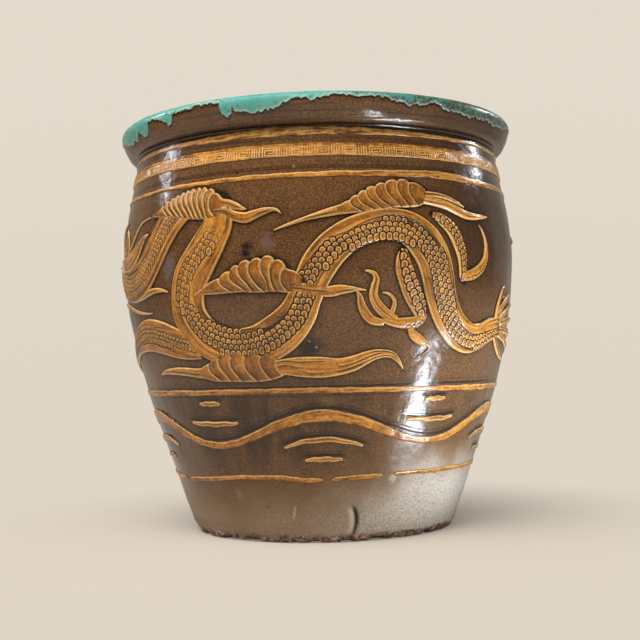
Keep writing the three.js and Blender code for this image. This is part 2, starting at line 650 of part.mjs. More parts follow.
// Foot line: a thin roll in four lengths, with a break between each
const footLengths = [[-58, -0.5], [2.5, 20], [24.5, 150], [155, 298]];
footLengths.forEach(([start, end], number) => {
  const steps = Math.max(4, Math.round((end - start) / 4));
  const stations = [];
  for (let step = 0; step <= steps; step += 1) {
    const angle = start + ((end - start) * step) / steps;
    stations.push([angle, WAIST - FOOT_LINE_DROP, FOOT_LINE_WIDTH / 2]);
  }
  const roll = layStrip(stations, { across: 1, rise: LINE_RISE, edge: LINE_RISE });
  place(`foot_line_${number + 1}`, roll, amberGlaze);
});

// Ripple strokes: each wave has two dashes over its valley, and an arc and a dash under its crest
const rippleKinds = [
  { name: "high_dash", from: WAVE_PITCH / 2, rise: HIGH_DASH_OVER_VALLEY - WAVE_SWING, halfSpan: 4.2,
    droop: 0 },
  { name: "low_dash", from: WAVE_PITCH / 2, rise: LOW_DASH_OVER_VALLEY - WAVE_SWING, halfSpan: 9.6,
    droop: -1.5 },
  { name: "arc", from: 0, rise: WAVE_SWING - ARC_UNDER_CREST, halfSpan: 12.6, droop: 9 },
  { name: "short_dash", from: 0, rise: WAVE_SWING - SHORT_DASH_UNDER_CREST, halfSpan: 6.2, droop: 1 },
];
for (let wave = 0; wave < WAVE_COUNT; wave += 1) {
  for (const { name, from, rise, halfSpan, droop } of rippleKinds) {
    const middle = wave * WAVE_PITCH + from;
    const steps = Math.max(4, Math.round(halfSpan / 2));
    const stations = [];
    for (let step = 0; step <= steps; step += 1) {
      const share = -1 + (2 * step) / steps;
      const half = (RIPPLE_WIDTH / 2) * (1 - 0.6 * share * share);
      stations.push([middle + share * halfSpan, WAIST - WAVE_DROP + rise - droop * share * share, half]);
    }
    const stroke = layStrip(stations, { across: 1, rise: RIPPLE_RISE, edge: RIPPLE_RISE });
    place(`ripple_${wave + 1}_${name}`, stroke, amberGlaze);
  }
}

// Clouds lie on top, the torso is trimmed to them, and the limbs and hair are trimmed to the torso
const clouds = { cloudOneStrips, cloudTwoStrips, cloudThreeStrips, cloudFourStrips };
const cloudRooms = Object.values(clouds).map(roomFor);
const cloudRoom = wasm.Manifold.union(cloudRooms);
const neckRoom = roomFor(neckStrips);
const coilRoom = roomFor(coilStrips);
const archRoom = roomFor(archStrips);
const headRoom = roomFor(headStrips);

function placeStrips(name, strips, rise, rooms) {
  let solid = pressTogether(strips, rise);
  for (const room of rooms) {
    solid = solid.subtract(room);
  }
  place(name, toSurface(solid), amberGlaze);
}

placeStrips("cloud_1", cloudOneStrips, CLOUD_RISE, []);
placeStrips("cloud_2", cloudTwoStrips, CLOUD_RISE, []);
placeStrips("cloud_3", cloudThreeStrips, CLOUD_RISE, []);
placeStrips("cloud_4", cloudFourStrips, CLOUD_RISE, []);
placeStrips("cloud_5", cloudFiveStrips, CLOUD_RISE, []);
placeStrips("cloud_6", cloudSixStrips, CLOUD_RISE, []);
placeStrips("dragon_neck", neckStrips, TORSO_RISE, [cloudRoom]);
placeStrips("dragon_coil", coilStrips, TORSO_RISE, [cloudRoom]);
placeStrips("dragon_arch", archStrips, TORSO_RISE, [cloudRoom]);
placeStrips("dragon_head", headStrips, TORSO_RISE, [neckRoom]);
placeStrips("tail_tuft", tuftStrips, LIMB_RISE, [archRoom]);
placeStrips("hind_leg", hindLegStrips, LIMB_RISE, [cloudRoom, archRoom]);
placeStrips("fore_leg", foreLegStrips, LIMB_RISE, [cloudRoom, archRoom]);
placeStrips("far_leg", farLegStrips, LIMB_RISE, [cloudRoom, coilRoom]);
placeStrips("mane_lock", maneStrips, HAIR_RISE, [neckRoom, headRoom]);
placeStrips("mane_whisker", whiskerStrips, HAIR_RISE, [cloudRoom, neckRoom, headRoom]);
placeStrips("shoulder_lock", shoulderLockStrips, HAIR_RISE, [neckRoom, headRoom]);
placeStrips("beard_lock", beardStrips, HAIR_RISE, [neckRoom, headRoom]);

// Flaming pearl: a domed disc of clay with three tongues of flame trimmed to its edge
function pearlStrip(radius) {
  const height = friezeHeight(pearlPlace.height);
  const rim = radius * FRIEZE_FIT;
  const stations = [];
  for (let step = 1; step < 8; step += 1) {
    const run = -Math.cos((step * Math.PI) / 8);
    const half = rim * Math.sqrt(1 - run * run);
    stations.push([pearlPlace.angle + (run * rim) / MM_PER_DEGREE, height, half]);
  }
  return stations;
}
const pearlRoom = stripRoom(pearlStrip(PEARL_RADIUS), 4);
place("pearl", layStrip(pearlStrip(PEARL_RADIUS), { across: 4, rise: CLOUD_RISE }), amberGlaze);
const flame = pressTogether(flameStrips, LIMB_RISE);
place("pearl_flame", toSurface(flame.subtract(pearlRoom)), amberGlaze);

export default jar;
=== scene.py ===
"""Century egg jar: the fired looks of a brown-glazed stoneware vat with a clay dragon."""
import math

import bpy
import numpy as np
from mathutils import Matrix, Vector


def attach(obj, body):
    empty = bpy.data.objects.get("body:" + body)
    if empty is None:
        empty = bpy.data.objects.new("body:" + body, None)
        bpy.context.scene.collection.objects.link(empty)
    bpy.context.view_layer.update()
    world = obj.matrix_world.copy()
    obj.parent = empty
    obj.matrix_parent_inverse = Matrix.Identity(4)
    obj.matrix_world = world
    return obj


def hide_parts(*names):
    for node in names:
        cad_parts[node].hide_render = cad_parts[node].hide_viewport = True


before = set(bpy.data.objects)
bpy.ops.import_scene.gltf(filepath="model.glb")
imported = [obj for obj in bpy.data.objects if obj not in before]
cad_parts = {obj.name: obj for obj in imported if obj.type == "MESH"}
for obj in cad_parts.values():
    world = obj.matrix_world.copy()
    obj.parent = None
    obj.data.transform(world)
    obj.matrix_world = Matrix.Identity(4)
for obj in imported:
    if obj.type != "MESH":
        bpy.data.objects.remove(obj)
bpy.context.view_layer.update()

bl_info = {
    "name": "Century Egg Jar",
    "version": (1, 0, 0),
    "blender": (4, 5, 0),
    "location": "3D View > Sidebar > Egg Jar",
    "description": "Models the walls, rim, bands, waves, clouds and dragon of a glazed egg jar",
    "category": "Object",
}

MM = 0.001

# Outside of the wall: two curves that meet at the belly, as radius and height in millimetres
LOWER_CURVE = ((168.5, 0), (218, 150), (255, 235), (255, 345))
UPPER_CURVE = ((255, 345), (255, 400), (243.2, 435), (236, 480))
WAIST, SHOULDER, NECK_TOP = 186, 430, 480
BASE_THICKNESS, FLOOR_HEIGHT = 22, 28
WALL_THICKNESS = 14

# Radius at which a drawn angle is read as a length
DRAWING_RADIUS = 248
MM_PER_DEGREE = DRAWING_RADIUS * math.pi / 180

# Coils inside: reach up and down from a seam, depth, and the base coil's section as depth and climb
COIL_RISE, COIL_DEPTH = 13, 8
BASE_COIL = ((25, -8.9), (22, -8), (17, -6), (12.5, -3), (9, 1), (6, 5.5), (3.4, 10), (1.4, 14), (-0.4, 17))

# Applied clay: lift of its sunken back, of its ends and of the places that other clay covers
BACK_LIFT, END_LIFT, TUCK_LIFT = -2.2, -0.6, -1.6

# Gaps between strips: how far from a strip they are read, the pace along it and the points read at once
GAP_REACH, GAP_PACE, GAP_BATCH = 14, 2.5, 20000
FAR_AWAY = 1e3

# Rim collar: its outline from the neck, up the flared face, over the lip and down the bore
RIM_FACE = ((236.2, 480.1), (237.6, 481.6), (240.2, 482.2), (243.2, 483.0), (246.0, 484.8), (247.9, 487.2),
            (249.4, 490.2), (251.1, 493.6), (252.7, 497.2), (254.0, 501.0), (255.0, 504.8), (255.4, 508.4),
            (254.8, 511.6), (252.8, 514.1), (249.6, 515.4), (246.0, 515.7))
RIM_BORE = ((238, 515.8), (230, 515.8), (222, 515.7), (217.4, 514.6), (213.9, 512.0), (212.2, 508.4),
            (212, 503), (212, 496), (213, 490.5), (216.5, 486.0), (220.8, 482.4), (222.2, 480.1))

# Lower edge of the lip glaze: angle round the jar and height, with its runs and bare places
DRIP_EDGE = ((-180, 505), (-168, 501), (-160, 508), (-147, 500), (-141, 508), (-126, 502), (-120, 501),
             (-112, 508), (-97, 503), (-88, 508), (-78, 499), (-72, 495), (-66, 489.5), (-63, 495),
             (-61, 490.5), (-58.5, 501), (-55, 491.5), (-53, 494), (-52, 506.5), (-47, 507.5), (-45.5, 504),
             (-43, 496), (-41.3, 499), (-41, 508.5), (-33, 509.5), (-26, 510), (-25.3, 508), (-24.8, 497),
             (-23.5, 491.5), (-22, 494), (-21.6, 505), (-21, 499), (-18, 496.5), (-13, 496), (-9, 499.5),
             (-7, 504), (-5.5, 508), (-2.5, 508.5), (-1, 503.5), (0.5, 507.5), (2, 509.5), (17, 509.5),
             (18.5, 507.5), (22, 504), (25, 500.5), (27.5, 503), (31, 506), (35, 506.5), (36, 501.5),
             (40, 501), (44, 498.5), (54, 499.5), (66, 499), (74, 503), (84, 508), (95, 504), (104, 500),
             (110, 507), (126, 509), (138, 503), (146, 501), (156, 508), (168, 507), (180, 505))

# Lines round the jar: angle, middle height and half width
NECK_LINE = ((-180, 474.5, 4.0), (-60, 474.5, 3.8), (-36, 473.6, 3.0), (-30, 473.6, 4.2), (-20, 474.6, 5.4),
             (-4, 474.8, 5.8), (10, 474.2, 4.8), (22, 473.4, 3.8), (34, 473.0, 2.6), (60, 473, 2.6),
             (120, 474, 3.6), (180, 474.5, 4.0))
SHOULDER_LINE = ((-180, 423.5, 3.2), (-60, 422.8, 2.4), (-30, 422.6, 2.7), (0, 423.2, 3.2), (14, 424, 3.6),
                 (26, 425.4, 4.4), (38, 425.8, 4.6), (50, 424, 3.8), (90, 423.4, 3.2), (180, 423.5, 3.2))
WAIST_LINE = ((-180, 180, 3.6), (-70, 179.4, 3.8), (-40, 180.2, 3.4), (-10, 181, 3.2), (2, 181, 3.2),
              (16, 179.8, 3.2), (34, 179, 3.0), (50, 177.8, 3.6), (70, 178.6, 3.6), (180, 180, 3.6))
FOOT_LINE = ((-60, 73.2), (-45, 75.6), (-30, 79.8), (-15, 80), (-8, 77), (0, 76.4), (11, 78.4), (25, 79.6),
             (75, 80), (150, 78), (200, 79), (260, 77), (300, 73.2))
FOOT_LENGTHS = ((-58, -0.5), (2.5, 20), (24.5, 150), (155, 298))
FOOT_HALF, FOOT_RISE = 3.0, 1.7

# Key fret: its band, and one repeat in millimetres with four ticks and the corners of a squared spiral
FRET_MIDDLE, FRET_HALF, FRET_RISE = 452.4, 8.6, 1.1
FRET_COUNT, FRET_REPEAT, FRET_TURN, FRET_DROP = 50, 30.5, 24.6, 1.4
FRET_TICKS = [((x, -4.6), (x, 4.6)) for x in (1.2, 4.0, 6.8, 9.6)]
FRET_SPIRAL = ((13.0, -4.6), (13.0, 4.6), (28.4, 4.6), (28.4, -4.4), (15.8, -4.4), (15.8, 2.0),
               (25.6, 2.0), (25.6, -1.6), (18.8, -1.6))

# Waves, with a crest at the front
WAVE_COUNT = 5
WAVE_SPAN = 360 / WAVE_COUNT
WAVE_MIDDLE, WAVE_SWING = 135, 17

# Ripple strokes of a wave: angle from its crest, height over its middle, half span and droop of the ends
RIPPLES = {"high_dash": (36, 32, 4.2, 0), "low_dash": (36, 8, 9.6, -1.5),
           "arc": (0, -11, 12.6, 9), "short_dash": (0, -34, 6.2, 1)}
RIPPLE_RISE, RIPPLE_HALF = 2.7, 3.5

# Frieze: angle, height and half width along the middle of each strip of clay
DRAWN = {
    "neck": [((-38, 398, 19), (-42.5, 384, 20), (-46.5, 366, 20.5), (-50, 347, 20.5), (-53.5, 331, 21),
              (-58, 319, 22.5), (-64, 313.5, 22), (-71, 316.5, 18.5), (-81, 327, 12))],
    "coil": [((-27, 392, 19), (-26.5, 374, 19), (-28.7, 355, 21), (-32.3, 333, 23.5), (-35.8, 312, 25),
              (-37.3, 290, 25), (-36.8, 268, 25), (-33.5, 248, 24), (-28.5, 236, 23), (-23, 231, 22.5),
              (-17, 233, 23), (-12, 242, 24), (-8.3, 254, 23), (-5.6, 268, 21), (-3.9, 284, 19),
              (-3.4, 289, 19), (-3, 294, 19))],
    "arch": [((-3, 293, 19), (-2.2, 301, 19), (0, 320, 20), (3.5, 339, 19.5), (8, 353.5, 18.5),
              (13, 362, 18), (18, 365, 18.5), (23.5, 361, 20), (28, 346.5, 22.6), (30.9, 328, 23.4),
              (32.3, 309, 23), (33.5, 288, 21.8), (35.8, 266, 21), (39.6, 247.5, 20.4), (45, 237, 18.5),
              (50, 238, 16.5), (55, 245, 15.2), (60.5, 250, 13.8))],
    "tuft": [((59.5, 258, 5), (59.5, 272, 4), (60.5, 285, 3.2), (62, 296, 2.2), (64.3, 302, 0.9)),
             ((59.5, 256, 6), (62, 272, 5.5), (65, 282, 4.5), (68.5, 289.5, 3.2), (73, 293, 1)),
             ((59.5, 254, 6), (66, 267, 5), (71, 275.5, 4), (76, 280, 2.6), (81, 281, 1)),
             ((59.5, 252, 6), (68, 258, 5.5), (75, 261, 4.5), (82, 261, 3), (88, 259, 1)),
             ((59.5, 249, 6), (68, 248, 5.5), (75, 246, 4.5), (82, 241, 3), (88, 235, 1)),
             ((59.5, 246, 6), (67, 239.5, 5), (74, 232, 4), (80, 225, 2.6), (85, 218, 1)),
             ((59.5, 244, 5.5), (62.5, 231, 4.8), (66, 221.5, 4), (70, 214.5, 3), (75, 210.5, 1))],
    "hind": [((22.1, 338, 3.5), (21.8, 328, 8), (22, 317, 10.5), (23.2, 302, 11.8), (24.7, 288, 12.2),
              (26.2, 276, 11), (27.2, 266, 8.6), (27.4, 257, 5.5)),
             ((28.4, 266, 5), (27.6, 259, 6.8), (25.6, 254.8, 7.2), (23.3, 254.2, 6.8), (20.8, 254.6, 5.9),
              (18.3, 257, 5.3), (16, 260, 4)),
             ((17, 254.6, 3), (15.6, 255.6, 4.4), (13.3, 258.4, 5.4), (11.6, 266.1, 5.8), (10.6, 276, 4.8),
              (10.2, 284.5, 3.2), (9.3, 291.5, 1.2)),
             ((20.5, 257.5, 4.5), (19.1, 260.1, 5.5), (16.6, 267, 6.4), (14.7, 275.8, 6.4),
              (13.8, 285.7, 5.4), (14.1, 295.6, 4.6), (14.5, 303, 3.9), (14, 309.2, 3), (12.7, 312.3, 1.9),
              (11.4, 313, 0.8)),
             ((18.6, 263, 2.5), (18.9, 266.9, 3.2), (19.5, 273.1, 3.2), (19.5, 279.3, 2.7),
              (18.6, 284.9, 2.2), (17.4, 287.8, 1.6), (16, 288.7, 0.8)),
             ((24.2, 250, 3.5), (24.5, 247, 4), (25.4, 241.7, 5.6), (27.1, 236.6, 6), (29, 232.1, 4.6),
              (30.3, 229.5, 2.2), (31, 226, 1.4), (30.4, 221.9, 1.1), (28.9, 217.8, 0.7))],
    "fore": [((31, 378.5, 3), (33.8, 373, 7), (37, 363, 8.8), (39.3, 348, 9), (40.8, 333, 8.2),
              (41.2, 320, 7), (41.2, 309, 6), (41.8, 303, 4)),
             ((40.8, 307, 4), (42.5, 308.5, 6), (46, 312.5, 7), (49, 320, 6.6), (51, 331, 5.2),
              (51.4, 343, 3.6), (51, 355, 2.5), (49.8, 365, 1.6), (48.6, 371, 0.7))],
    "far": [((-34.5, 231, 12), (-40, 235, 16), (-44.5, 240, 19), (-50, 246.5, 20.5), (-57, 250.5, 20),
             (-64, 247, 17), (-71, 237.5, 12), (-77, 228, 9.5), (-83, 222.5, 8), (-87, 222, 5)),
            ((-84, 225, 5), (-91, 231, 4.4), (-97, 238, 3.2), (-101, 247, 1)),
            ((-84, 222, 5), (-93, 220.5, 4.2), (-101, 216, 3), (-107, 209, 1)),
            ((-82, 219, 5), (-87, 209, 3.8), (-93, 202.5, 2.6), (-99, 200, 1))],
    "mane": [((-80.5, 347.5, 0.9), (-78, 346, 5), (-72, 343, 11), (-66, 345, 11.5), (-61.5, 351.5, 10.5),
              (-58.5, 361, 7.5), (-56.3, 368.5, 4), (-53.6, 372.5, 0.9))],
    "fringe": [((-72, 340, 9), (-71.5, 350, 12), (-70.5, 361, 13), (-69.8, 371, 10.5), (-69.8, 380, 6),
                (-70.2, 387, 1))],
    "whisker": [((-80, 363, 0.8), (-77, 361, 2.2), (-72, 358.5, 2.6), (-68, 358.5, 2.4), (-65.5, 362.5, 2.3),
                 (-63, 370.5, 2.2), (-60.5, 380, 2.1), (-58, 387.5, 1.8), (-54.8, 391, 1.4),
                 (-52.6, 392, 0.9))],
    "lock": [((-80.5, 306.5, 0.9), (-77, 304.5, 4), (-71, 302, 6), (-64, 297.5, 5.5), (-58, 298, 4.6),
              (-52, 302.5, 4), (-47.5, 302.5, 2.6), (-44.4, 299.5, 0.9))],
    "beard": [((-82, 295.5, 0.8), (-78, 293, 2.6), (-73, 290, 3.2), (-67, 284, 3), (-62, 279.5, 2.4),
               (-57, 277, 1.7), (-53, 276.5, 0.9))],
    "head": [((-75, 321, 1.5), (-75.8, 322.2, 6.5), (-77.6, 324.6, 11.5), (-80.4, 328.2, 15),
              (-84, 333, 17.5), (-90, 341, 21), (-97, 344, 19), (-104, 343, 14.5),
              (-110, 343, 11.5), (-115, 347, 8.5), (-118, 353, 3)),
             ((-90, 330, 8), (-97, 322, 8), (-104, 317, 7), (-110, 317.5, 5), (-114, 322, 2)),
             ((-88, 352, 7), (-86, 368, 5.4), (-82, 380, 4.4), (-77, 389, 3), (-71, 395, 1)),
             ((-93, 354, 6.5), (-95.5, 372, 5), (-94.5, 384, 3.4), (-91, 393, 1)),
             ((-112, 337, 4), (-119, 329, 3), (-126, 327, 2.6), (-131.5, 333, 2.2), (-134, 343, 1.7),
              (-133, 354, 0.8))],
    "cloud_1": [((-51, 391.5, 1.2), (-48, 394, 5), (-46, 396.5, 8.5), (-42, 398.5, 12.5), (-38, 399.2, 16.5),
                 (-34, 399.2, 19), (-30, 397, 18.5), (-27.5, 393.5, 15), (-25.2, 391.5, 8)),
                ((-28, 400, 4.5), (-25.9, 396.9, 5), (-23.5, 394.8, 4.9), (-21.3, 390.8, 4.6),
                 (-19.5, 387.6, 2.6), (-18.3, 386.4, 0.9)),
                ((-28, 388, 5), (-24.5, 386.3, 5.6), (-21.8, 380, 6), (-18.6, 376.8, 6.6),
                 (-16.4, 379.3, 5.8), (-13.8, 382.8, 4.4), (-11.3, 384.2, 2.6), (-10.2, 383.1, 1.8),
                 (-9.1, 378.6, 0.8))],
    "cloud_2": [((-34.5, 292.5, 1.2), (-32, 296, 4), (-30, 298.6, 6.5), (-26, 302.5, 10.4),
                 (-22.5, 306.5, 14), (-19, 310.4, 18.4), (-16, 311.2, 19.7), (-13, 312, 21),
                 (-10.2, 307.6, 17.2), (-8.4, 304, 14), (-6.8, 302.8, 12.8), (-5.2, 302.6, 9.5),
                 (-4.2, 302.6, 4)),
                ((-7, 297, 5), (-4.6, 295, 6.2), (-2, 292.6, 6.6), (2.7, 290.6, 6.4), (5.2, 292.2, 5.8),
                 (7.7, 292.5, 4), (10, 292.4, 1.9), (12, 291.2, 0.8))],
    "cloud_3": [((4.6, 382, 4), (6.5, 382.5, 6.5), (8.3, 385, 8.5), (11.5, 389.8, 12), (14.5, 394.5, 14.5),
                 (16.5, 396.5, 15.5), (20, 400.2, 16.8), (23.5, 401.2, 17), (27, 400, 14), (29.5, 399.5, 8)),
                ((-11.3, 360.5, 0.9), (-8, 365.5, 1.8), (-4, 371, 2.5), (0, 375.8, 4), (4, 380, 5.5),
                 (7, 382.5, 6)),
                ((28, 401, 4.5), (32, 401.5, 3.6), (36, 399.5, 3.2), (39.5, 395.3, 2.5), (43, 389.5, 1.2)),
                ((28, 395, 5), (32, 393, 5.4), (36, 390, 5.6), (40, 384.8, 6), (43, 381, 5.5),
                 (46.5, 380, 4.5), (50, 381, 3), (54, 382.3, 1))],
    "cloud_4": [((-36.5, 203, 5), (-34, 204, 9), (-31.5, 205.5, 13), (-28, 208, 15.5), (-24, 208, 16),
                 (-20, 207.5, 16), (-16, 208, 16), (-13, 207, 13), (-10.5, 206.5, 9)),
                ((-55.3, 202.5, 1), (-52, 205.5, 3), (-47, 206.3, 4.8), (-42, 205.3, 5.5), (-38, 203.5, 6),
                 (-34, 203, 7)),
                ((-14, 206, 9), (-10, 208, 9.5), (-6, 207.5, 11.5), (0, 206.5, 12), (5, 206.8, 9.8),
                 (9, 210.5, 9), (12, 215.5, 7.6), (15, 219.5, 6), (18, 220.2, 4.6), (20.3, 217, 3.8),
                 (22, 210, 2.6), (23.3, 202, 1))],
    "cloud_5": [((92, 376, 4), (96, 379, 9), (101, 383, 14), (107, 387, 17), (113, 388, 17.5), (119, 386, 15),
                 (123, 384, 9)),
                ((76, 358, 1), (81, 364, 2.6), (86, 370, 4), (91, 375, 5.5), (95, 378, 6)),
                ((121, 384, 6), (128, 382, 6), (135, 376, 5.6), (141, 376, 4), (147, 382, 1))],
    "cloud_6": [((104, 222, 4), (108, 224, 9), (113, 228, 14), (119, 232, 17), (126, 233, 17.5),
                 (132, 230, 15), (136, 226, 9)),
                ((88, 203, 1), (93, 210, 2.6), (98, 215, 4), (103, 220, 5.5), (107, 223, 6)),
                ((134, 226, 6), (141, 222, 6.5), (149, 214, 6), (157, 213, 4.4), (164, 220, 1))],
    "flame": [((-145, 344, 5), (-150, 347, 6), (-155, 341, 5)),
              ((-146, 342, 5), (-143, 354, 5), (-144, 366, 3.8), (-148, 378, 1)),
              ((-151, 344, 5), (-152, 358, 4.6), (-156, 369, 3.4), (-162, 376, 1)),
              ((-154, 334, 5), (-160, 338, 4.4), (-167, 336, 3.2), (-173, 328, 1))],
}
FRIEZE = tuple(DRAWN)
FRONT_CLOUDS = ("cloud_1", "cloud_2", "cloud_3", "cloud_4")

# Pearl: a disc drawn as one strip, laid after the frieze
PEARL_ANGLE, PEARL_HEIGHT, PEARL_RADIUS = -149, 330, 17
DRAWN["pearl"] = [[(PEARL_ANGLE + x * PEARL_RADIUS / MM_PER_DEGREE, PEARL_HEIGHT,
                    PEARL_RADIUS * math.sqrt(1 - x * x))
                   for x in -np.cos(np.linspace(0.12, math.pi - 0.12, 13))]]

# Features pressed on the dragon's head: knots, rise and depth of the outline, as shares of the torso's rise
FEATURES = {
    "brow": (((-86, 351, 2), (-89, 355, 3.4), (-93, 355.5, 3.4), (-97, 352, 1.2)), 1.7, 0.9),
    "eye": (((-89.2, 346.5, 1.5), (-90, 346.5, 4), (-91, 346.5, 4.8), (-92, 346.5, 4), (-92.8, 346.5, 1.5)),
            1.9, 1.2),
    "pupil": (((-90.2, 346.5, 0.8), (-90.7, 346.5, 2.1), (-91.3, 346.5, 2.1), (-91.8, 346.5, 0.8)), 3.9, 3),
    "nostril": (((-108.6, 349, 1.2), (-109.8, 350, 3), (-111, 350, 3), (-112.2, 349, 1.2)), 1.6, 1.2),
    "cheek": (((-85, 326, 2), (-88, 322, 4), (-92, 321, 4), (-95, 324, 1.4)), 1.4, 0.9),
    "tooth_1": (((-101, 332, 2.2), (-101.4, 328, 1.6), (-101.6, 324.5, 0.6)), 0.9, 0),
    "tooth_2": (((-105, 332.5, 2.2), (-105.4, 328.5, 1.6), (-105.6, 325, 0.6)), 0.9, 0),
    "tooth_3": (((-109, 333.5, 2.4), (-109.4, 328.5, 1.7), (-109.6, 324, 0.6)), 0.9, 0),
}

# Rows of scales on the torso: one lower limit, upper limit and strength across the strip for each knot
SCALED = {
    "neck": ((-0.5, 0.4, 0), (-0.5, 0.4, 0.5), (-0.5, 0.4, 0.6), (-0.5, 0.4, 0.6), (-0.5, 0.45, 0.6),
             (-0.55, 0.5, 0.6), (-0.6, 0.5, 0.6), (-0.6, 0.5, 0.7), (-0.6, 0.5, 0.7)),
    "coil": ((-0.3, 0.3, 0), (-0.3, 0.35, 0), (-0.3, 0.4, 0.6), (-0.5, 0.15, 0.65), (-0.6, -0.03, 0.6),
             (-0.55, 0.14, 0.6), (-0.1, 0.62, 0.75), (-0.15, 0.8, 0.9), (-0.25, 0.9, 1), (-0.35, 0.85, 1),
             (-0.35, 0.75, 1), (-0.38, 0.4, 1), (-0.4, 0.35, 1), (-0.42, 0.38, 1), (-0.45, 0.4, 1),
             (-0.45, 0.4, 1), (-0.45, 0.4, 1)),
    "arch": ((-0.3, 0.8, 1), (-0.25, 0.75, 1), (-0.32, 0.47, 1), (-0.42, 0.38, 1), (-0.75, 0.1, 1),
             (-0.85, 0.25, 1), (-0.9, 0.4, 1), (-0.8, 0.3, 1), (-0.5, 0.38, 1), (-0.36, 0.62, 1),
             (-0.3, 0.8, 1), (-0.38, 0.75, 1), (-0.4, 0.62, 1), (-0.45, 0.32, 1), (-0.56, 0.18, 1),
             (-0.8, 0.08, 1), (-0.88, -0.1, 1), (-0.9, -0.2, 1)),
}

# Where each pressed rib of a cloud starts at its top edge, in degrees
RIBS = {
    "cloud_1": (-46, -44, -42, -40, -38, -36.2, -34.3, -32.3, -30.2, -27.8),
    "cloud_2": (-26.4, -23.4, -20.9, -17.7, -14.6, -11.1, -8.1),
    "cloud_3": (8.1, 10.3, 12.4, 15, 17.8, 21.3, 24.8),
    "cloud_4": (-32.8, -29.2, -25.2, -21.0, -16.4, -11.9),
    "cloud_5": (97, 100.5, 104.5, 108.5, 112.5, 116.5, 120),
    "cloud_6": (109, 112.5, 116.5, 120.5, 124.5, 128.5, 132.5),
}

# Spots and stains in the brown glaze, with a bluish-grey painted reflection among them: angle, height, reach
# in millimetres, colour and strength
SPOTS = (
    (-18.4, 344, 10, (22, 20, 26), 0.95), (-19, 337, 8, (22, 20, 26), 0.95),
    (-13.2, 348, 13, (128, 104, 110), 0.45), (-3, 228, 24, (26, 25, 27), 0.9),
    # The two bluish-grey spots at -44 and -44.5 degrees are a painted reflection, not stains.
    (-44, 332, 17, (118, 110, 118), 0.4), (-44.5, 318, 10, (118, 110, 118), 0.35),
    (-1.2, 229, 2.2, (170, 164, 160), 0.7), (-3, 236, 1.8, (150, 144, 140), 0.6),
    (28, 187, 3.4, (26, 20, 18), 0.9), (-6, 433, 3, (176, 140, 92), 0.7),
    (-21.5, 430, 2.6, (30, 22, 16), 0.9), (-41, 421, 2.8, (34, 24, 18), 0.9),
    (-21.5, 44, 3, (40, 30, 22), 0.8), (-19.5, 82, 3, (34, 24, 18), 0.8),
    (15, 20, 3, (60, 52, 44), 0.7), (-33, 58, 9, (150, 136, 114), 0.4),
    (24.5, 75, 8, (204, 188, 160), 0.6), (2, 168, 12, (150, 118, 70), 0.25),
)

# Lesser tones of the glazes, the clays and the paper, as screen values. The tone that darkens the right side
# is painted shade, the foot's pale bloom is partly painted sheen, and the darkest glaze tone is partly
# painted shade.
TONES = {
    "painted_shade_right": (44, 27, 14), "dry_dark": (116, 86, 52), "foot_bloom_and_sheen": (232, 226, 216), "pool_and_shade": (20, 15, 12),
    "scraped": (206, 192, 166), "amber_mottle": (100, 58, 22), "amber_fleck": (70, 40, 16),
    "lip_cloud": (116, 182, 168), "lip_rust": (72, 46, 28), "lip_pale": (212, 232, 216),
    "lip_dark": (28, 24, 20), "foot_pool": (28, 20, 15), "clay_dark": (92, 70, 62),
    "clay_pale": (224, 206, 192), "coil_clay": (122, 86, 62), "fibre": (120, 112, 104),
}

# Studio in metres: the floor, the bend into the backdrop and the backdrop's height
FLOOR_SIZE, FLOOR_SHIFT = (14, 8, 1), (0, -1.6, 0)
BEND_RADIUS, BEND_STEPS, BACKDROP_HEIGHT = 1.6, 24, 5
AIR_TINT, AIR_STRENGTH = (1.0, 0.96, 0.9, 1), 0.12

# Lamps round the jar: angle, elevation, distance, width, height, watts and tint
LAMP_AIM = Vector((0, 0, 0.28))
LAMPS = {
    "left_fill": (-40, 57, 2.8, 2.6, 1.6, 76, (1, 0.98, 0.95)),
    "front_fill": (-6, 57, 2.8, 2.6, 1.6, 50, (1, 0.98, 0.95)),
    "left_strip": (-99, 30, 1.9, 0.07, 0.5, 4.5, (0.84, 0.91, 1)),
    "right_strip": (114, 28, 1.9, 0.2, 0.22, 8, (0.9, 0.95, 1)),
}

# Cards of light on the floor: place, angle, spread, width, length, watts and tint
CARDS = {
    "floor_card_right": ((0.46, -0.32, 0.004), 69, 180, 0.45, 0.08, 4.0, (0.8, 0.89, 1)),
    "floor_card_front": ((0.43, -0.66, 0.004), 34, 112, 0.05, 0.1, 1.8, (0.9, 0.95, 1)),
}

# Camera fitted to the photo: focal length and width in pixels, film width, tilt, roll and place
PHOTO_FOCUS, PHOTO_WIDTH, FILM_WIDTH = 1107, 640, 36
CAMERA_TILT, CAMERA_ROLL = 2.475, -1.509
CAMERA_PLACE = Vector((-0.36, -1479.7, 205.9)) * MM


def srgb(red, green, blue):
    """Colour read as eight-bit screen values, as the linear colour that a shader takes."""
    def straight(value):
        share = value / 255
        return share / 12.92 if share <= 0.04045 else ((share + 0.055) / 1.055) ** 2.4
    return (straight(red), straight(green), straight(blue))


def tone(name):
    return srgb(*TONES[name])


def colour_property(name, description, colour):
    return bpy.props.FloatVectorProperty(
        name=name, description=description, default=srgb(*colour), subtype="COLOR", size=3, min=0, max=1)


def length_property(name, description, millimetres):
    return bpy.props.FloatProperty(
        name=name, description=description, default=millimetres * MM, min=0, unit="LENGTH", precision=5)


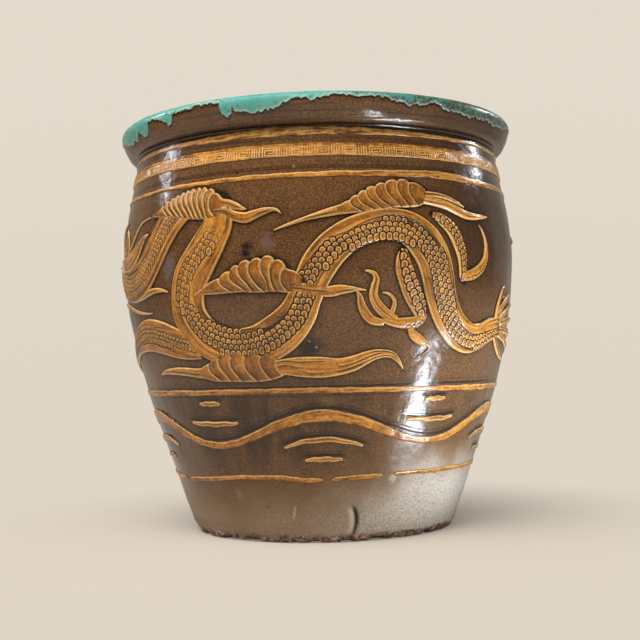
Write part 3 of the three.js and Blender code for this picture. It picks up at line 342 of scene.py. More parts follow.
class JarSizes(bpy.types.PropertyGroup):
    """Sizes that a potter would change."""
    torso_rise: length_property("Torso rise", "How far the dragon's torso stands off the wall", 4.0)
    limb_rise: length_property("Limb rise", "How far the legs and the tail tuft stand off the wall", 3.4)
    hair_rise: length_property("Hair rise", "How far the mane and whiskers stand off the wall", 2.6)
    cloud_rise: length_property("Cloud rise", "How far the clouds stand off the wall", 4.6)
    line_rise: length_property("Line rise", "How far the lines round the jar stand off the wall", 1.3)
    wave_rise: length_property("Wave rise", "How far the wave line stands off the wall", 1.9)
    scale_pitch: length_property("Scale pitch", "Distance from one pressed scale to the next", 7.3)
    glaze_depth: length_property("Lip glaze depth", "Thickness of the turquoise coat on the lip", 1.1)


class JarColours(bpy.types.PropertyGroup):
    """Colours of the glazes, the clay and the studio."""
    ground: colour_property("Ground", "Dark brown glaze of the wall", (98, 66, 38))
    ground_light: colour_property("Ground speckle", "Pale specks in the brown glaze", (146, 108, 66))
    ground_dark: colour_property("Ground dark", "Dark runs in the brown glaze", (46, 31, 20))
    amber: colour_property("Amber", "Amber glaze on the applied clay", (206, 136, 46))
    amber_deep: colour_property("Deep amber", "Amber glaze where it lies thicker", (122, 73, 26))
    ridge: colour_property("Ridge", "Glaze worn thin on raised edges", (238, 196, 126))
    groove: colour_property("Groove", "Glaze pooled black in the grooves", (22, 17, 14))
    turquoise: colour_property("Turquoise", "Glaze on the lip", (86, 164, 154))
    green: colour_property("Green", "Lip glaze where it is thin and rusty", (62, 112, 92))
    foot_tan: colour_property("Foot tan", "Thin dry glaze near the foot", (134, 102, 62))
    bare_clay: colour_property("Bare clay", "Chipped clay of the foot", (164, 126, 112))
    paper: colour_property("Paper", "Studio paper under the jar", (204, 195, 183))
    floor: colour_property("Floor", "Even tone of the studio floor", (224, 213, 198))
    backdrop: colour_property("Backdrop", "Even tone of the studio backdrop", (227, 218, 204))


def bezier(points, count=400):
    share = np.linspace(0, 1, count)[:, None]
    one, two, three, four = (np.array(point, float) for point in points)
    left = 1 - share
    return left ** 3 * one + 3 * left ** 2 * share * two + 3 * left * share ** 2 * three + share ** 3 * four


WALL_CURVE = np.vstack([bezier(LOWER_CURVE), bezier(UPPER_CURVE)[1:]])


def wall_radius(height):
    return np.interp(height, WALL_CURVE[:, 1], WALL_CURVE[:, 0])


def wobble(angle, height):
    """Unevenness of the hand-built wall, in millimetres. It fades out at the rim."""
    turn = np.radians(angle)
    lumps = (0.45 * np.sin(3 * turn + height / 61 + 0.6) + 0.4 * np.sin(7 * turn - height / 37 + 2.1)
             + 0.3 * np.sin(13 * turn + height / 23) + 0.22 * np.sin(height / 9.5 + 2 * turn))
    return lumps * np.clip((NECK_TOP - height) / 40, 0, 1)


def round_jar(angle, height, radius):
    """Points at angles, heights and distances from the jar's axis. The angle 0 is at the front."""
    turn = np.radians(angle)
    return np.stack([radius * np.sin(turn), -radius * np.cos(turn), height + 0 * radius], axis=-1)


def on_wall(angle, height, lift):
    """Points at angles and heights, lifted off the outside of the wall, in millimetres."""
    return round_jar(angle, height, wall_radius(height) + wobble(angle, height) + lift)


def step(low, high, value):
    """Smooth step from 0 at low to 1 at high."""
    share = np.clip((value - low) / (high - low), 0, 1)
    return share * share * (3 - 2 * share)


def bell(value, middle, width):
    return np.exp(-((value - middle) / width) ** 2)


def scatter(one, two, seed):
    """Repeatable scatter from 0 to 1 for a pair of whole numbers."""
    mixed = np.sin(one * 127.1 + two * 311.7 + seed * 74.7) * 43758.5453
    return mixed - np.floor(mixed)


def grain(one, two, seed):
    """Smooth noise from 0 to 1 over a plane."""
    left, low = np.floor(one), np.floor(two)
    across, up = step(0, 1, one - left), step(0, 1, two - low)
    bottom = scatter(left, low, seed) * (1 - across) + scatter(left + 1, low, seed) * across
    top = scatter(left, low + 1, seed) * (1 - across) + scatter(left + 1, low + 1, seed) * across
    return bottom * (1 - up) + top * up


def ragged(value, seed):
    """Smooth noise from 0 to 1 along a line."""
    return grain(value, 0 * value, seed)


def dome(share):
    """Quarter-round rise from 0 to 1."""
    return np.sqrt(np.clip(1 - (1 - np.clip(share, 0, 1)) ** 2, 0, 1))


class Strip:
    """A strip of clay drawn on the wall: its middle line in steps, with tangents, half widths and run."""

    def __init__(self, knots, spacing):
        points = np.array([(angle * MM_PER_DEGREE, height, half) for angle, height, half in knots], float)
        padded = np.vstack([2 * points[0] - points[1], points, 2 * points[-1] - points[-2]])
        line, shares = [], []
        for number in range(len(points) - 1):
            part, share = self.between(padded[number:number + 4])
            line.append(part)
            shares.append(share + number)
        line = np.vstack(line + [points[-1:]])
        shares = np.concatenate(shares + [[len(points) - 1.0]])
        run = np.concatenate([[0], np.cumsum(np.hypot(np.diff(line[:, 0]), np.diff(line[:, 1])))])
        count = max(8, int(round(run[-1] / spacing)))
        self.run = np.linspace(0, run[-1], count + 1)
        self.along, self.height, self.half = (np.interp(self.run, run, line[:, axis]) for axis in range(3))
        self.knot = np.interp(self.run, run, shares)
        self.half = np.maximum(self.half, 0.3)
        ahead, climb = np.gradient(self.along), np.gradient(self.height)
        length = np.hypot(ahead, climb)
        self.ahead, self.climb = ahead / length, climb / length
        self.length = run[-1]

    @staticmethod
    def between(four):
        """Points of a centripetal curve from the second of four knots to the third."""
        gaps = np.maximum(np.linalg.norm(np.diff(four, axis=0), axis=1) ** 0.5, 1e-6)
        times = np.concatenate([[0], np.cumsum(gaps)])
        now = np.linspace(times[1], times[2], 40, endpoint=False)[:, None]

        def mix(one, two, start, end):
            return (end - now) / (end - start) * one + (now - start) / (end - start) * two
        first = mix(four[0], four[1], times[0], times[1])
        second = mix(four[1], four[2], times[1], times[2])
        third = mix(four[2], four[3], times[2], times[3])
        left, right = mix(first, second, times[0], times[2]), mix(second, third, times[1], times[3])
        share = (now[:, 0] - times[1]) / (times[2] - times[1])
        return mix(left, right, times[1], times[2]), share

    def place(self, across):
        """Angle and height of points across the strip, in millimetres left of the way it runs."""
        angle = (self.along[:, None] - self.climb[:, None] * across) / MM_PER_DEGREE
        return angle, self.height[:, None] + self.ahead[:, None] * across


def clearance(angle, height, groups):
    """Distance in millimetres from points on the wall to the edges of drawn strips, less than 0 under one."""
    shape = np.shape(angle)
    along, height = np.ravel(angle) * MM_PER_DEGREE, np.ravel(height)
    nearest = np.full(along.shape, FAR_AWAY)
    for knots in [knots for group in groups for knots in DRAWN[group]]:
        strip = Strip(knots, GAP_PACE)
        reach = strip.half.max() + GAP_REACH
        near = ((along > strip.along.min() - reach) & (along < strip.along.max() + reach)
                & (height > strip.height.min() - reach) & (height < strip.height.max() + reach))
        where = np.flatnonzero(near)
        for part in np.array_split(where, max(1, len(where) // GAP_BATCH)):
            apart = np.hypot(along[part, None] - strip.along, height[part, None] - strip.height)
            nearest[part] = np.minimum(nearest[part], (apart - strip.half).min(axis=1))
    return nearest.reshape(shape)


def tuck_under(lift, angle, height, groups, edge):
    """Sinks clay where other strips lie on it, from just inside their edges."""
    keep = step(edge - 2, edge, clearance(angle, height, groups))
    return lift * keep + TUCK_LIFT * (1 - keep)


def start_fresh():
    """Leaves edit mode and selects nothing."""
    if bpy.context.object and bpy.context.object.mode != "OBJECT":
        bpy.ops.object.mode_set(mode="OBJECT")
    bpy.ops.object.select_all(action="DESELECT")


def close_up():
    """Welds the seams and ends of the piece in hand and turns its faces outward."""
    bpy.ops.object.mode_set(mode="EDIT")
    bpy.ops.mesh.select_all(action="SELECT")
    bpy.ops.mesh.remove_doubles(threshold=2e-6)
    bpy.ops.mesh.dissolve_degenerate(threshold=1e-6)
    bpy.ops.mesh.delete_loose()
    bpy.ops.mesh.select_all(action="SELECT")
    bpy.ops.mesh.normals_make_consistent(inside=False)
    bpy.ops.object.mode_set(mode="OBJECT")
    bpy.ops.object.shade_smooth()


def set_points(piece, points, marks):
    """Moves a piece's points, given in millimetres, and writes their marks from 0 to 1."""
    mesh = piece.data
    mesh.vertices.foreach_set("co", (points * MM).reshape(-1).astype(np.float32))
    for mark, values in marks.items():
        layer = mesh.attributes.new(mark, "FLOAT", "POINT")
        layer.data.foreach_set("value", np.clip(values, 0, 1).reshape(-1).astype(np.float32))
    mesh.update()


def lay_sheet(name, points, marks):
    """Grid laid on points given in rows and columns, with marks for each point."""
    rows, columns = points.shape[:2]
    start_fresh()
    bpy.ops.mesh.primitive_grid_add(x_subdivisions=columns - 1, y_subdivisions=rows - 1, size=1)
    piece = bpy.context.object
    piece.name = name
    set_points(piece, points, marks)
    close_up()
    return piece


def lay_clay(name, angle, height, lift, groove, ridge, wash, ring=False):
    """Clay on the wall: a top surface with a back sunk in the wall, closed at its ends or into a ring."""
    columns = angle.shape[1]
    back, middle = [int(columns * 0.7), int(columns * 0.3)], columns // 2

    def closed(values, under=None, end=None, turn=0):
        under = values[:, back] if under is None else np.full((values.shape[0], 2), under)
        values = np.hstack([values, under, values[:, :1]])
        if ring:
            return np.vstack([values, values[:1] + turn])
        first, last = (values[0, middle], values[-1, middle]) if end is None else (end, end)
        row = np.ones((1, values.shape[1]))
        return np.vstack([first * row, values, last * row])
    points = on_wall(closed(angle, turn=360), closed(height), closed(lift, BACK_LIFT, END_LIFT))
    marks = {"groove": closed(groove, 1.0), "ridge": closed(ridge, 0.0), "wash": closed(wash)}
    return lay_sheet(name, points, marks)


def join_clay(name, parts):
    """Pieces of clay pressed together into one."""
    start_fresh()
    for part in parts:
        part.select_set(True)
    bpy.context.view_layer.objects.active = parts[0]
    bpy.ops.object.join()
    piece = bpy.context.object
    piece.name = name
    piece.data.name = name
    return piece


def finish_piece(piece, material, slot, *nodes):
    """Gives a piece its material, ties it to the jar, and hides the solids that it stands for."""
    piece.data.materials.clear()
    piece.data.materials.append(material)
    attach(piece, "root")
    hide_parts(*nodes)


def edge_shape(across, half, edge=3.0):
    """Share of the full rise over a strip: flat in the middle and rounded down over its edges."""
    return dome((half - np.abs(across)) / np.minimum(edge, half * 0.8))


def end_shape(strip, start, end):
    """Share of the full rise along a strip, rounded down towards its ends."""
    return (dome(strip.run / start) * dome((strip.length - strip.run) / end))[:, None]


def outline_dark(lift):
    """Dark line where clay meets the wall."""
    return 1 - step(0.1, 1.1, lift)


def scale_cells(strip, across, low, high, pitch, seed):
    """For each point the distance from the middle of the scale that shows there, and 1 where one lies.

    The scales lie in staggered rows. Each laps over the scales above it and shows its round top."""
    row_pitch = pitch * 0.84
    most = int(np.ceil(strip.half.max() / row_pitch)) + 3
    rows = np.arange(-most, most + 1)
    lines = strip.along[:, None] - strip.climb[:, None] * rows * row_pitch
    climbs = strip.height[:, None] + strip.ahead[:, None] * rows * row_pitch
    legs = np.hypot(np.diff(lines, axis=0), np.diff(climbs, axis=0))
    runs = np.vstack([np.zeros(len(rows)), np.cumsum(legs, axis=0)])
    number = np.arange(len(strip.run))[:, None]
    shown, there = np.full(across.shape, 9.0), np.zeros(across.shape)
    lowest = np.full(across.shape, 99.0)
    spacing = strip.run[1] - strip.run[0]
    for side, shift in [(side, shift) for side in (-1, 0, 1, 2) for shift in (-1, 0, 1)]:
        row = np.clip(np.floor(across / row_pitch) + side, -most, most).astype(int)
        run = runs[number, row + most]
        stagger = (row % 2) * 0.5 * pitch
        count = np.round((run - stagger) / pitch) + shift
        ahead = run - stagger - count * pitch + 1.0 * (scatter(row, count, seed) - 0.5)
        aside = across - row * row_pitch + 0.9 * (scatter(row, count, seed + 1) - 0.5)
        radius = pitch * (0.6 + 0.05 * scatter(row, count, seed + 2))
        above = ahead * strip.climb[:, None] + aside * strip.ahead[:, None]
        right = ahead * strip.ahead[:, None] - aside * strip.climb[:, None]
        apart = np.hypot(right, np.maximum(above, 0) + np.minimum(above + 0.35 * pitch, 0)) / radius
        order = 0.3 * right - 0.95 * above
        middle = np.clip(number - np.round(ahead / spacing).astype(int), 0, len(strip.run) - 1)
        place = row * row_pitch
        held = (place > (low * strip.half)[middle]) & (place < (high * strip.half)[middle])
        covers = held & (apart < 1) & (order < lowest)
        shown = np.where(covers, apart, shown)
        there = np.where(covers, 1, there)
        lowest = np.where(covers, order, lowest)
    return shown, there


def press_scales(lift, groove, ridge, cells, strength):
    """Presses scales into clay: a thin pale ring on each, with black grooves between."""
    apart, there = cells
    cut = step(0.66, 0.76, apart) * there * strength
    rim = bell(apart, 0.52, 0.11) * there * np.minimum(1, 1.4 * strength)
    lift = lift + 0.2 * rim - 0.7 * cut
    groove = np.maximum(groove * (1 - 0.8 * there), cut)
    return lift, groove, np.maximum(ridge * (1 - there), rim)


def streaks(strip, across, seed, width=2.6):
    """Brushed streaks that follow a strip, from 0 to 1."""
    fine = grain(across / width + 40, strip.run[:, None] / 46, seed)
    broad = grain(across / (2.4 * width) + 90, strip.run[:, None] / 90, seed + 3)
    return 0.6 * fine + 0.4 * broad


def spread(strip, pace):
    """Distances across a strip for each of its steps, with enough columns for its widest place."""
    columns = max(7, int(2 * strip.half.max() / pace) | 1)
    share = np.linspace(-1, 1, columns)
    share = np.sign(share) * (1 - (1 - np.abs(share)) ** 1.25)
    return share[None, :] * strip.half[:, None]


def lay_torso(name, group, rise, pitch, covered_by, seed):
    """Length of the dragon's torso: rows of scales between brushed bands."""
    strip = Strip(DRAWN[group][0], 0.62)
    across = spread(strip, 0.62)
    half = strip.half[:, None]
    inside = half - np.abs(across)
    limits = np.array(SCALED[group]).T
    low, high, strength = (np.interp(strip.knot, np.arange(len(limit)), limit) for limit in limits)
    body = rise * edge_shape(across, half, 4.5) * (0.86 + 0.14 * (1 - (across / half) ** 2))
    brushed = streaks(strip, across, seed)
    lift = body - 0.6 * (1 - brushed) * step(1, 4, inside)
    groove = 0.5 * step(0.56, 0.85, 1 - brushed)
    ridge = 0.25 * step(0.6, 0.95, brushed)
    edge = bell(inside, 1.2, 0.75)
    lift, ridge = lift + 0.3 * edge, np.maximum(ridge, edge)
    groove = np.maximum(groove, 0.4 * bell(inside, 4.2, 0.9))
    for limit, outward in ((low, -1), (high, 1)):
        border = (limit * strip.half)[:, None]
        line = bell(across, border + outward * 2.0, 0.8) * strength[:, None]
        second = bell(across, border + outward * (7.5 + 1.5 * brushed), 0.8) * step(5, 8, inside)
        pale = bell(across, border + outward * 4.2, 0.9) * step(5, 8, inside)
        lift = lift - 0.7 * line - 0.5 * second + 0.2 * pale
        groove = np.maximum(groove, np.maximum(0.7 * line, 0.55 * second))
        ridge = np.maximum(ridge, 0.4 * pale)
    cells = scale_cells(strip, across, low, high, pitch, seed)
    lift, groove, ridge = press_scales(lift, groove, ridge, cells, strength[:, None])
    angle, height = strip.place(across)
    lift = tuck_under(lift, angle, height, covered_by, -1.2)
    groove = np.maximum(groove, outline_dark(lift))
    return lay_clay(name, angle, height, lift, groove, ridge, brushed * (1 - 0.2 * cells[1]))


def lay_limb(name, knots, rise, covered_by, seed, scales=None, lines=(), ends=(2, 3), pace=0.9, sunk=0.0):
    """Strip of a leg, claw, lock of hair or cloud tail: rounded, brushed and with pale edges.

    A strip on other clay is sunk in it, and its dark outline lies at that depth."""
    strip = Strip(knots, pace)
    across = spread(strip, pace)
    half = strip.half[:, None]
    lift = rise * edge_shape(across, half, 3.4) * (0.72 + 0.28 * (1 - (across / half) ** 2))
    lift = lift * end_shape(strip, *ends) * (0.45 + 0.55 * step(0.8, 4.5, half))
    brushed = streaks(strip, across, seed, 2.2)
    groove = 0.45 * step(0.62, 0.95, 1 - brushed)
    ridge = 0.2 * step(0.6, 0.95, brushed)
    edge = bell(half - np.abs(across), 1.2, 0.8)
    ridge = np.maximum(ridge, 0.95 * edge)
    for count, share in enumerate(lines):
        waver = 0.3 * (ragged(strip.run / 17 + 30, seed + count) - 0.5)[:, None]
        fade = step(0.15, 0.5, ragged(strip.run / 23 + 60, seed + count + 5))[:, None] * step(2.2, 4.0, half)
        middle = (share + waver) * half
        cut = bell(across, middle, 0.75) * fade
        lip = bell(across, middle + 1.6, 0.7) * fade
        lift = lift - 0.9 * cut
        groove = np.maximum(groove, 0.75 * cut)
        ridge = np.maximum(ridge, 0.5 * lip)
    if scales:
        low, high, pitch = scales
        limits = (np.full_like(strip.run, low), np.full_like(strip.run, high))
        cells = scale_cells(strip, across, *limits, pitch, seed)
        lift, groove, ridge = press_scales(lift, groove, ridge, cells, step(2.5, 5, half))
        brushed = brushed * (1 - 0.2 * cells[1])
    angle, height = strip.place(across)
    lift = tuck_under(lift, angle, height, covered_by, -1.0)
    groove = np.maximum(groove, outline_dark(lift - sunk))
    return lay_clay(name, angle, height, lift, groove, ridge, brushed)


def lay_cloud_body(name, group, rise, seed):
    """Body of a cloud: thumb-pressed lobes with round tops, parted by ribs that sweep right at the bottom."""
    strip = Strip(DRAWN[group][0], 0.75)
    across = spread(strip, 0.75)
    half = strip.half[:, None]
    share = across / half
    down = (1 - share) / 2
    top_angle = (strip.along - strip.climb * 0.9 * strip.half) / MM_PER_DEGREE
    starts = np.interp(RIBS[group], top_angle, strip.run)
    starts = np.concatenate([[-14.0], starts, [strip.length + 14.0]])
    sweep = 12.5 * down ** 3.4 - 2.6 * np.sin(math.pi * np.minimum(down / 0.75, 1))
    leaned = strip.run[:, None] - np.minimum(1, half / 15) * sweep
    number = np.clip(np.searchsorted(starts, leaned) - 1, 0, len(starts) - 2)
    before, after = starts[number], starts[number + 1]
    within = np.clip((leaned - before) / (after - before), 0, 1)
    top = np.clip(np.searchsorted(starts, strip.run) - 1, 0, len(starts) - 2)
    arch = np.clip((strip.run - starts[top]) / (starts[top + 1] - starts[top]), 0, 1)[:, None]
    notch = 1 - dome(1 - np.abs(2 * arch - 1))
    ribbed = step(2.5, 6, half)
    scallop = 1 - 0.26 * notch * step(-0.1, 0.9, share) * ribbed
    near = np.minimum(leaned - before + 99 * (number == 0), after - leaned + 99 * (number == len(starts) - 2))
    rib = bell(near, 0, 0.7) * ribbed
    lobe = 1 - ribbed * (0.3 * (1 - within) ** 1.5 + 0.1 * within ** 6)
    inside = half - np.abs(across)
    lift = rise * edge_shape(across, half, 3.4) * lobe * (0.8 + 0.2 * (1 - share ** 2))
    lift = (lift + 0.8 * rib * step(0.6, 2.4, inside)) * end_shape(strip, 2, 5)
    hollow = bell(within, 0.24, 0.22) * step(0.3, -0.5, share) * step(0.4, 2.2, inside) * ribbed
    crease = bell(leaned - before, 1.9, 0.8) * ribbed * (number > 0)
    lift = lift - 0.5 * hollow - 0.4 * crease
    brushed = grain(across / 7 + 20, leaned / 1.9 + 60, seed)
    dark = crease * (0.45 + 0.45 * step(0.5, -0.4, share))
    groove = np.maximum(np.maximum(0.4 * hollow, dark), 0.45 * step(0.62, 0.95, brushed))
    edge = bell(inside, 1.1, 0.8)
    ridge = np.maximum(rib, 0.95 * edge)
    groove = np.maximum(groove * (1 - 0.95 * rib), outline_dark(lift))
    angle, height = strip.place(across * scallop)
    wash = np.clip(0.45 * brushed + 0.25 * within * (0.4 + 0.6 * step(-0.8, 0.4, share)), 0, 1)
    return lay_clay(name, angle, height, lift, groove, ridge, wash)


def lay_line(name, table, rise, seed, columns, turns=(-180, 180), ring=True, worn=0.0):
    """Flat clay line with brushed glaze, round the jar or between two angles.

    Its table gives the angle, the height of the middle and the half width. Its worn share pales the brushed
    streaks; on the neck line it is painted light where the rim shades it."""
    angles, middles, halves = np.array(table, float).T
    angle = np.linspace(*turns, columns, endpoint=not ring)[:, None]
    middle = np.interp(angle, angles, middles) + 0.8 * (ragged(angle / 3.1 + 200, seed) - 0.5)
    half = np.interp(angle, angles, halves) * (0.88 + 0.24 * ragged(angle / 1.6 + 200, seed + 1))
    if not ring:
        half = half * np.sqrt(np.clip(np.minimum(angle - turns[0], turns[1] - angle) / 1.2, 0.02, 1))
    share = np.linspace(-1, 1, 15)[None, :]
    across = share * half
    lift = rise * edge_shape(across, half, 2.2) * (0.75 + 0.3 * ragged(angle / 2.3 + 300, seed))
    lift = lift - 0.5 * (np.abs(share) > 0.99)
    brushed = 0.6 * grain(angle / 3.4 + 400, across / 1.3 + 50, seed + 2)
    brushed = brushed + 0.4 * grain(angle * 0.9 + 600, across / 2.5 + 50, seed + 3)
    groove = np.maximum(0.5 * step(0.62, 0.95, 1 - brushed), 1 - step(-0.35, 0.45, lift))
    ridge = np.maximum(0.7 * bell(half - across, 1.3, 0.8), 0.25 * step(0.6, 0.9, brushed))
    # Worn share: pale streaks, raised on the neck line as painted light against the rim's shadow.
    ridge = np.maximum(ridge, worn * step(0.2, 0.7, brushed))
    return lay_clay(name, angle + 0 * across, middle + across, lift, groove, ridge, brushed, ring)


def fret_lines(along, up):
    """Distance in millimetres to the nearest line of the key fret, for places along and up one repeat."""
    nearest = np.full(np.shape(along), FAR_AWAY)
    for (ax, ay), (bx, by) in FRET_TICKS + list(zip(FRET_SPIRAL[:-1], FRET_SPIRAL[1:])):
        run, climb = bx - ax, by - ay
        share = np.clip(((along - ax) * run + (up - ay) * climb) / (run * run + climb * climb), 0, 1)
        nearest = np.minimum(nearest, np.hypot(along - ax - share * run, up - ay - share * climb))
    return nearest


def turn_outline(name, outline, steps):
    """Ring turned round the jar's axis from a closed outline of radius and height."""
    start_fresh()
    bpy.ops.mesh.primitive_circle_add(vertices=len(outline), radius=1, fill_type="NOTHING")
    piece = bpy.context.object
    piece.name = name
    radius, height = np.array(outline, float).T
    set_points(piece, round_jar(0, height, radius), {})
    bpy.ops.object.modifier_add(type="SCREW")
    turn = piece.modifiers[-1]
    turn.steps = turn.render_steps = steps
    turn.use_merge_vertices = True
    turn.merge_threshold = 1e-6
    bpy.ops.object.modifier_apply(modifier=turn.name)
    close_up()
    bpy.ops.object.shade_smooth_by_angle(angle=math.radians(50))
    return piece


def read_points(piece):
    """Angle, height and radius of a piece's points, in degrees and millimetres."""
    points = np.zeros(len(piece.data.vertices) * 3, np.float32)
    piece.data.vertices.foreach_get("co", points)
    points = points.reshape(-1, 3).astype(float) / MM
    angle = np.degrees(np.arctan2(points[:, 0], -points[:, 1]))
    return angle, points[:, 2], np.hypot(points[:, 0], points[:, 1])


def scar(angle, height):
    """Old gouge near the foot and a scratch beside it: their depth, the raised flank and the bared clay."""
    bow = angle - (11.8 - 2.2 * ((height - 25) / 22) ** 2)
    length = step(1, 16, height) * step(48, 34, height)
    cut = bell(bow, 0.1, 0.75) * length
    lip = bell(bow, -2.0, 1.1) * length
    scratch = bell(angle, -11.5 + (height - 38) * 0.08, 0.3) * step(28, 32, height) * step(47, 42, height)
    bared = np.maximum(0.8 * bell(bow, -1.8, 1.0) * length ** 1.6, 0.8 * scratch)
    return 3.6 * cut + 0.7 * scratch, 1.4 * lip, bared


def wave_height(angle):
    return WAVE_MIDDLE + WAVE_SWING * np.cos(np.radians(angle * WAVE_COUNT))


class Wire:
    """One socket of a glaze recipe. Sums on it add Math nodes."""

    def __init__(self, recipe, socket):
        self.recipe = recipe
        self.socket = socket

    def maths(self, operation, first, second):
        return self.recipe.add("ShaderNodeMath", {"operation": operation}, {0: first, 1: second})

    def __add__(self, other):
        return self.maths("ADD", self, other)

    def __sub__(self, other):
        return self.maths("SUBTRACT", self, other)

    def __rsub__(self, other):
        return self.maths("SUBTRACT", other, self)

    def __mul__(self, other):
        return self.maths("MULTIPLY", self, other)

    __radd__ = __add__
    __rmul__ = __mul__


class Recipe:
    """A glaze or clay: its material, and one way to add a node to it."""

    def __init__(self, name):
        self.material = bpy.data.materials.new(name)
        self.material.use_nodes = True
        self.tree = self.material.node_tree
        self.tree.nodes.clear()
        self.place = self.add("ShaderNodeTexCoord", output="Object")

    def add(self, kind, settings=None, sockets=None, output=0):
        node = self.tree.nodes.new(kind)
        for name, value in (settings or {}).items():
            setattr(node, name, value)
        for name, value in (sockets or {}).items():
            if isinstance(value, Wire):
                self.tree.links.new(value.socket, node.inputs[name])
            else:
                node.inputs[name].default_value = value
        return Wire(self, node.outputs[output]) if len(node.outputs) else None

    def blend(self, share, one, two):
        """Mix of two colours."""
        one, two = ((*colour, 1) if not isinstance(colour, Wire) else colour for colour in (one, two))
        return self.add("ShaderNodeMix", {"data_type": "RGBA"}, {0: share, 6: one, 7: two}, 2)

    def coats(self, colour, *layers):
        """Colour with layers over it in turn, each with its share and its own colour."""
        for share, layer in layers:
            colour = self.blend(share, colour, layer)
        return colour

    def noise(self, scale, detail=2.0, rough=0.5, place=None):
        return self.add("ShaderNodeTexNoise", {}, {
            "Vector": place or self.place, "Scale": scale, "Detail": detail, "Roughness": rough}, "Fac")

    def stretched(self, scales):
        """Object coordinates stretched along each axis."""
        return self.add("ShaderNodeMapping", {}, {"Vector": self.place, "Scale": scales})

    def rise(self, value, low, high):
        """Smooth step from 0 at low to 1 at high."""
        return self.add("ShaderNodeMapRange", {"interpolation_type": "SMOOTHSTEP"}, {
            "Value": value, "From Min": low, "From Max": high}, "Result")

    def mark(self, name):
        return self.add("ShaderNodeAttribute", {"attribute_name": name}, {}, "Fac")

    def along(self, axis):
        """Object coordinate along one axis."""
        return self.add("ShaderNodeSeparateXYZ", {}, {"Vector": self.place}, axis)

    def distance(self, middle):
        """Distance from a place, in metres."""
        ends = {0: self.place, 1: middle}
        return self.add("ShaderNodeVectorMath", {"operation": "DISTANCE"}, ends, "Value")

    def spot(self, angle, height, reach):
        """1 at a place on the wall, falling to 0 at a reach in millimetres, with a ragged edge."""
        middle = on_wall(np.float64(angle), np.float64(height), 0) * MM
        edge = self.distance(middle) + (self.noise(120, 4, 0.7) - 0.5) * (1.9 * reach * MM)
        return 1 - self.rise(edge, 0.1 * reach * MM, reach * MM)

    def fire(self, colour, roughness, bump, distance, coat, specular=0.5):
        """Ends the recipe with its shader."""
        normal = self.add("ShaderNodeBump", {}, {
            "Strength": 1.0, "Distance": distance, "Height": bump}, "Normal")
        shader = self.add("ShaderNodeBsdfPrincipled", {}, {
            "Base Color": colour, "Roughness": roughness, "Normal": normal, "Coat Weight": coat,
            "Coat Roughness": 0.2, "Specular IOR Level": specular}, "BSDF")
        self.add("ShaderNodeOutputMaterial", {}, {"Surface": shader})
        return self.material


def fired_once(name):
    """Makes a finish when it is first asked for, and hands out the same one after that."""
    def kept(make):
        def find(colours):
            return bpy.data.materials.get(name) or make(Recipe(name), colours)
        return find
    return kept


def brown_ground(recipe, colours):
    """Speckled brown ground that turns tan and dry towards the foot, with painted shade towards the right
    side and a pale bloom at the foot that is partly painted sheen: its colour, dryness and fine grain.
    """
    height, across = recipe.along("Z"), recipe.along("X")
    fine = recipe.noise(640, 3, 0.7)
    runs = recipe.noise(1, 3, 0.6, recipe.stretched((42, 42, 5)))
    brushed = recipe.noise(1, 3, 0.6, recipe.stretched((7, 7, 260)))
    side = recipe.rise(across, -0.06, 0.155)
    band = recipe.rise(height, 0.19, 0.165) * recipe.rise(height, 0.075, 0.12) * (1 - side * 0.7)
    turned = recipe.rise(height, 0.424, 0.436)
    # Painted shade: the ground darkens towards the right side, from the belly up.
    painted_shade_right = recipe.rise(across, 0.08, 0.2) * recipe.rise(height, 0.22, 0.36)
    ground = recipe.coats(
        colours.ground,
        (recipe.rise(recipe.noise(9, 3, 0.55), 0.38, 0.7) * 0.3, colours.ground_dark),
        (recipe.rise(runs, 0.52, 0.75) * 0.3, colours.ground_dark),
        (recipe.rise(fine, 0.49, 0.66) * 0.7, colours.ground_light),
        (recipe.rise(recipe.noise(150, 3, 0.6), 0.56, 0.78) * 0.25, colours.ground_light),
        (recipe.rise(fine, 0.48, 0.34) * 0.7, colours.ground_dark),
        (band * recipe.rise(runs, 0.34, 0.66) * 0.75, colours.ground_dark),
        (turned * recipe.rise(brushed, 0.5, 0.66) * 0.6, colours.ground_dark),
        (turned * recipe.rise(brushed, 0.44, 0.32) * 0.3, colours.amber_deep),
        (painted_shade_right * 0.75, tone("painted_shade_right")))
    edge = height - side * 0.055 + (recipe.noise(11, 3, 0.6) - 0.5) * 0.08 + (fine - 0.5) * 0.04
    dry = recipe.rise(edge, 0.1, 0.01)
    # Pale bloom at the foot, stronger on the right: partly pale dry glaze, partly painted sheen.
    pale = recipe.rise(edge, 0.075, -0.01) * (0.15 + side * 0.85)
    tan = recipe.coats(
        tone("dry_dark"),
        (recipe.rise(fine, 0.4, 0.62), colours.foot_tan),
        (pale * recipe.rise(fine, 0.3, 0.55), tone("foot_bloom_and_sheen")))
    return recipe.blend(dry, ground, tan), dry, fine


@fired_once("brown_ash_glaze")
def make_brown_glaze(recipe, colours):
    """Dark brown glaze of the walls, with its spots and scars; the bluish-grey spots are a painted
    reflection, and the darkest glaze also carries painted shade.
    """
    colour, dry, fine = brown_ground(recipe, colours)
    spots = [(recipe.spot(angle, height, reach) * share, srgb(*shade))
             for angle, height, reach, shade, share in SPOTS]
    colour = recipe.coats(colour, (recipe.mark("pool_and_shade"), tone("pool_and_shade")), *spots,
                          (recipe.mark("bare"), tone("scraped")))
    rough = 0.17 + dry * 0.24 + (recipe.noise(90, 3) - 0.5) * 0.16
    bump = fine * 0.12 + recipe.noise(70, 2, 0.5) * 1.1 + recipe.noise(24, 2) * 2.4
    return recipe.fire(colour, rough, bump, 0.0005, 0.03, 0.5)


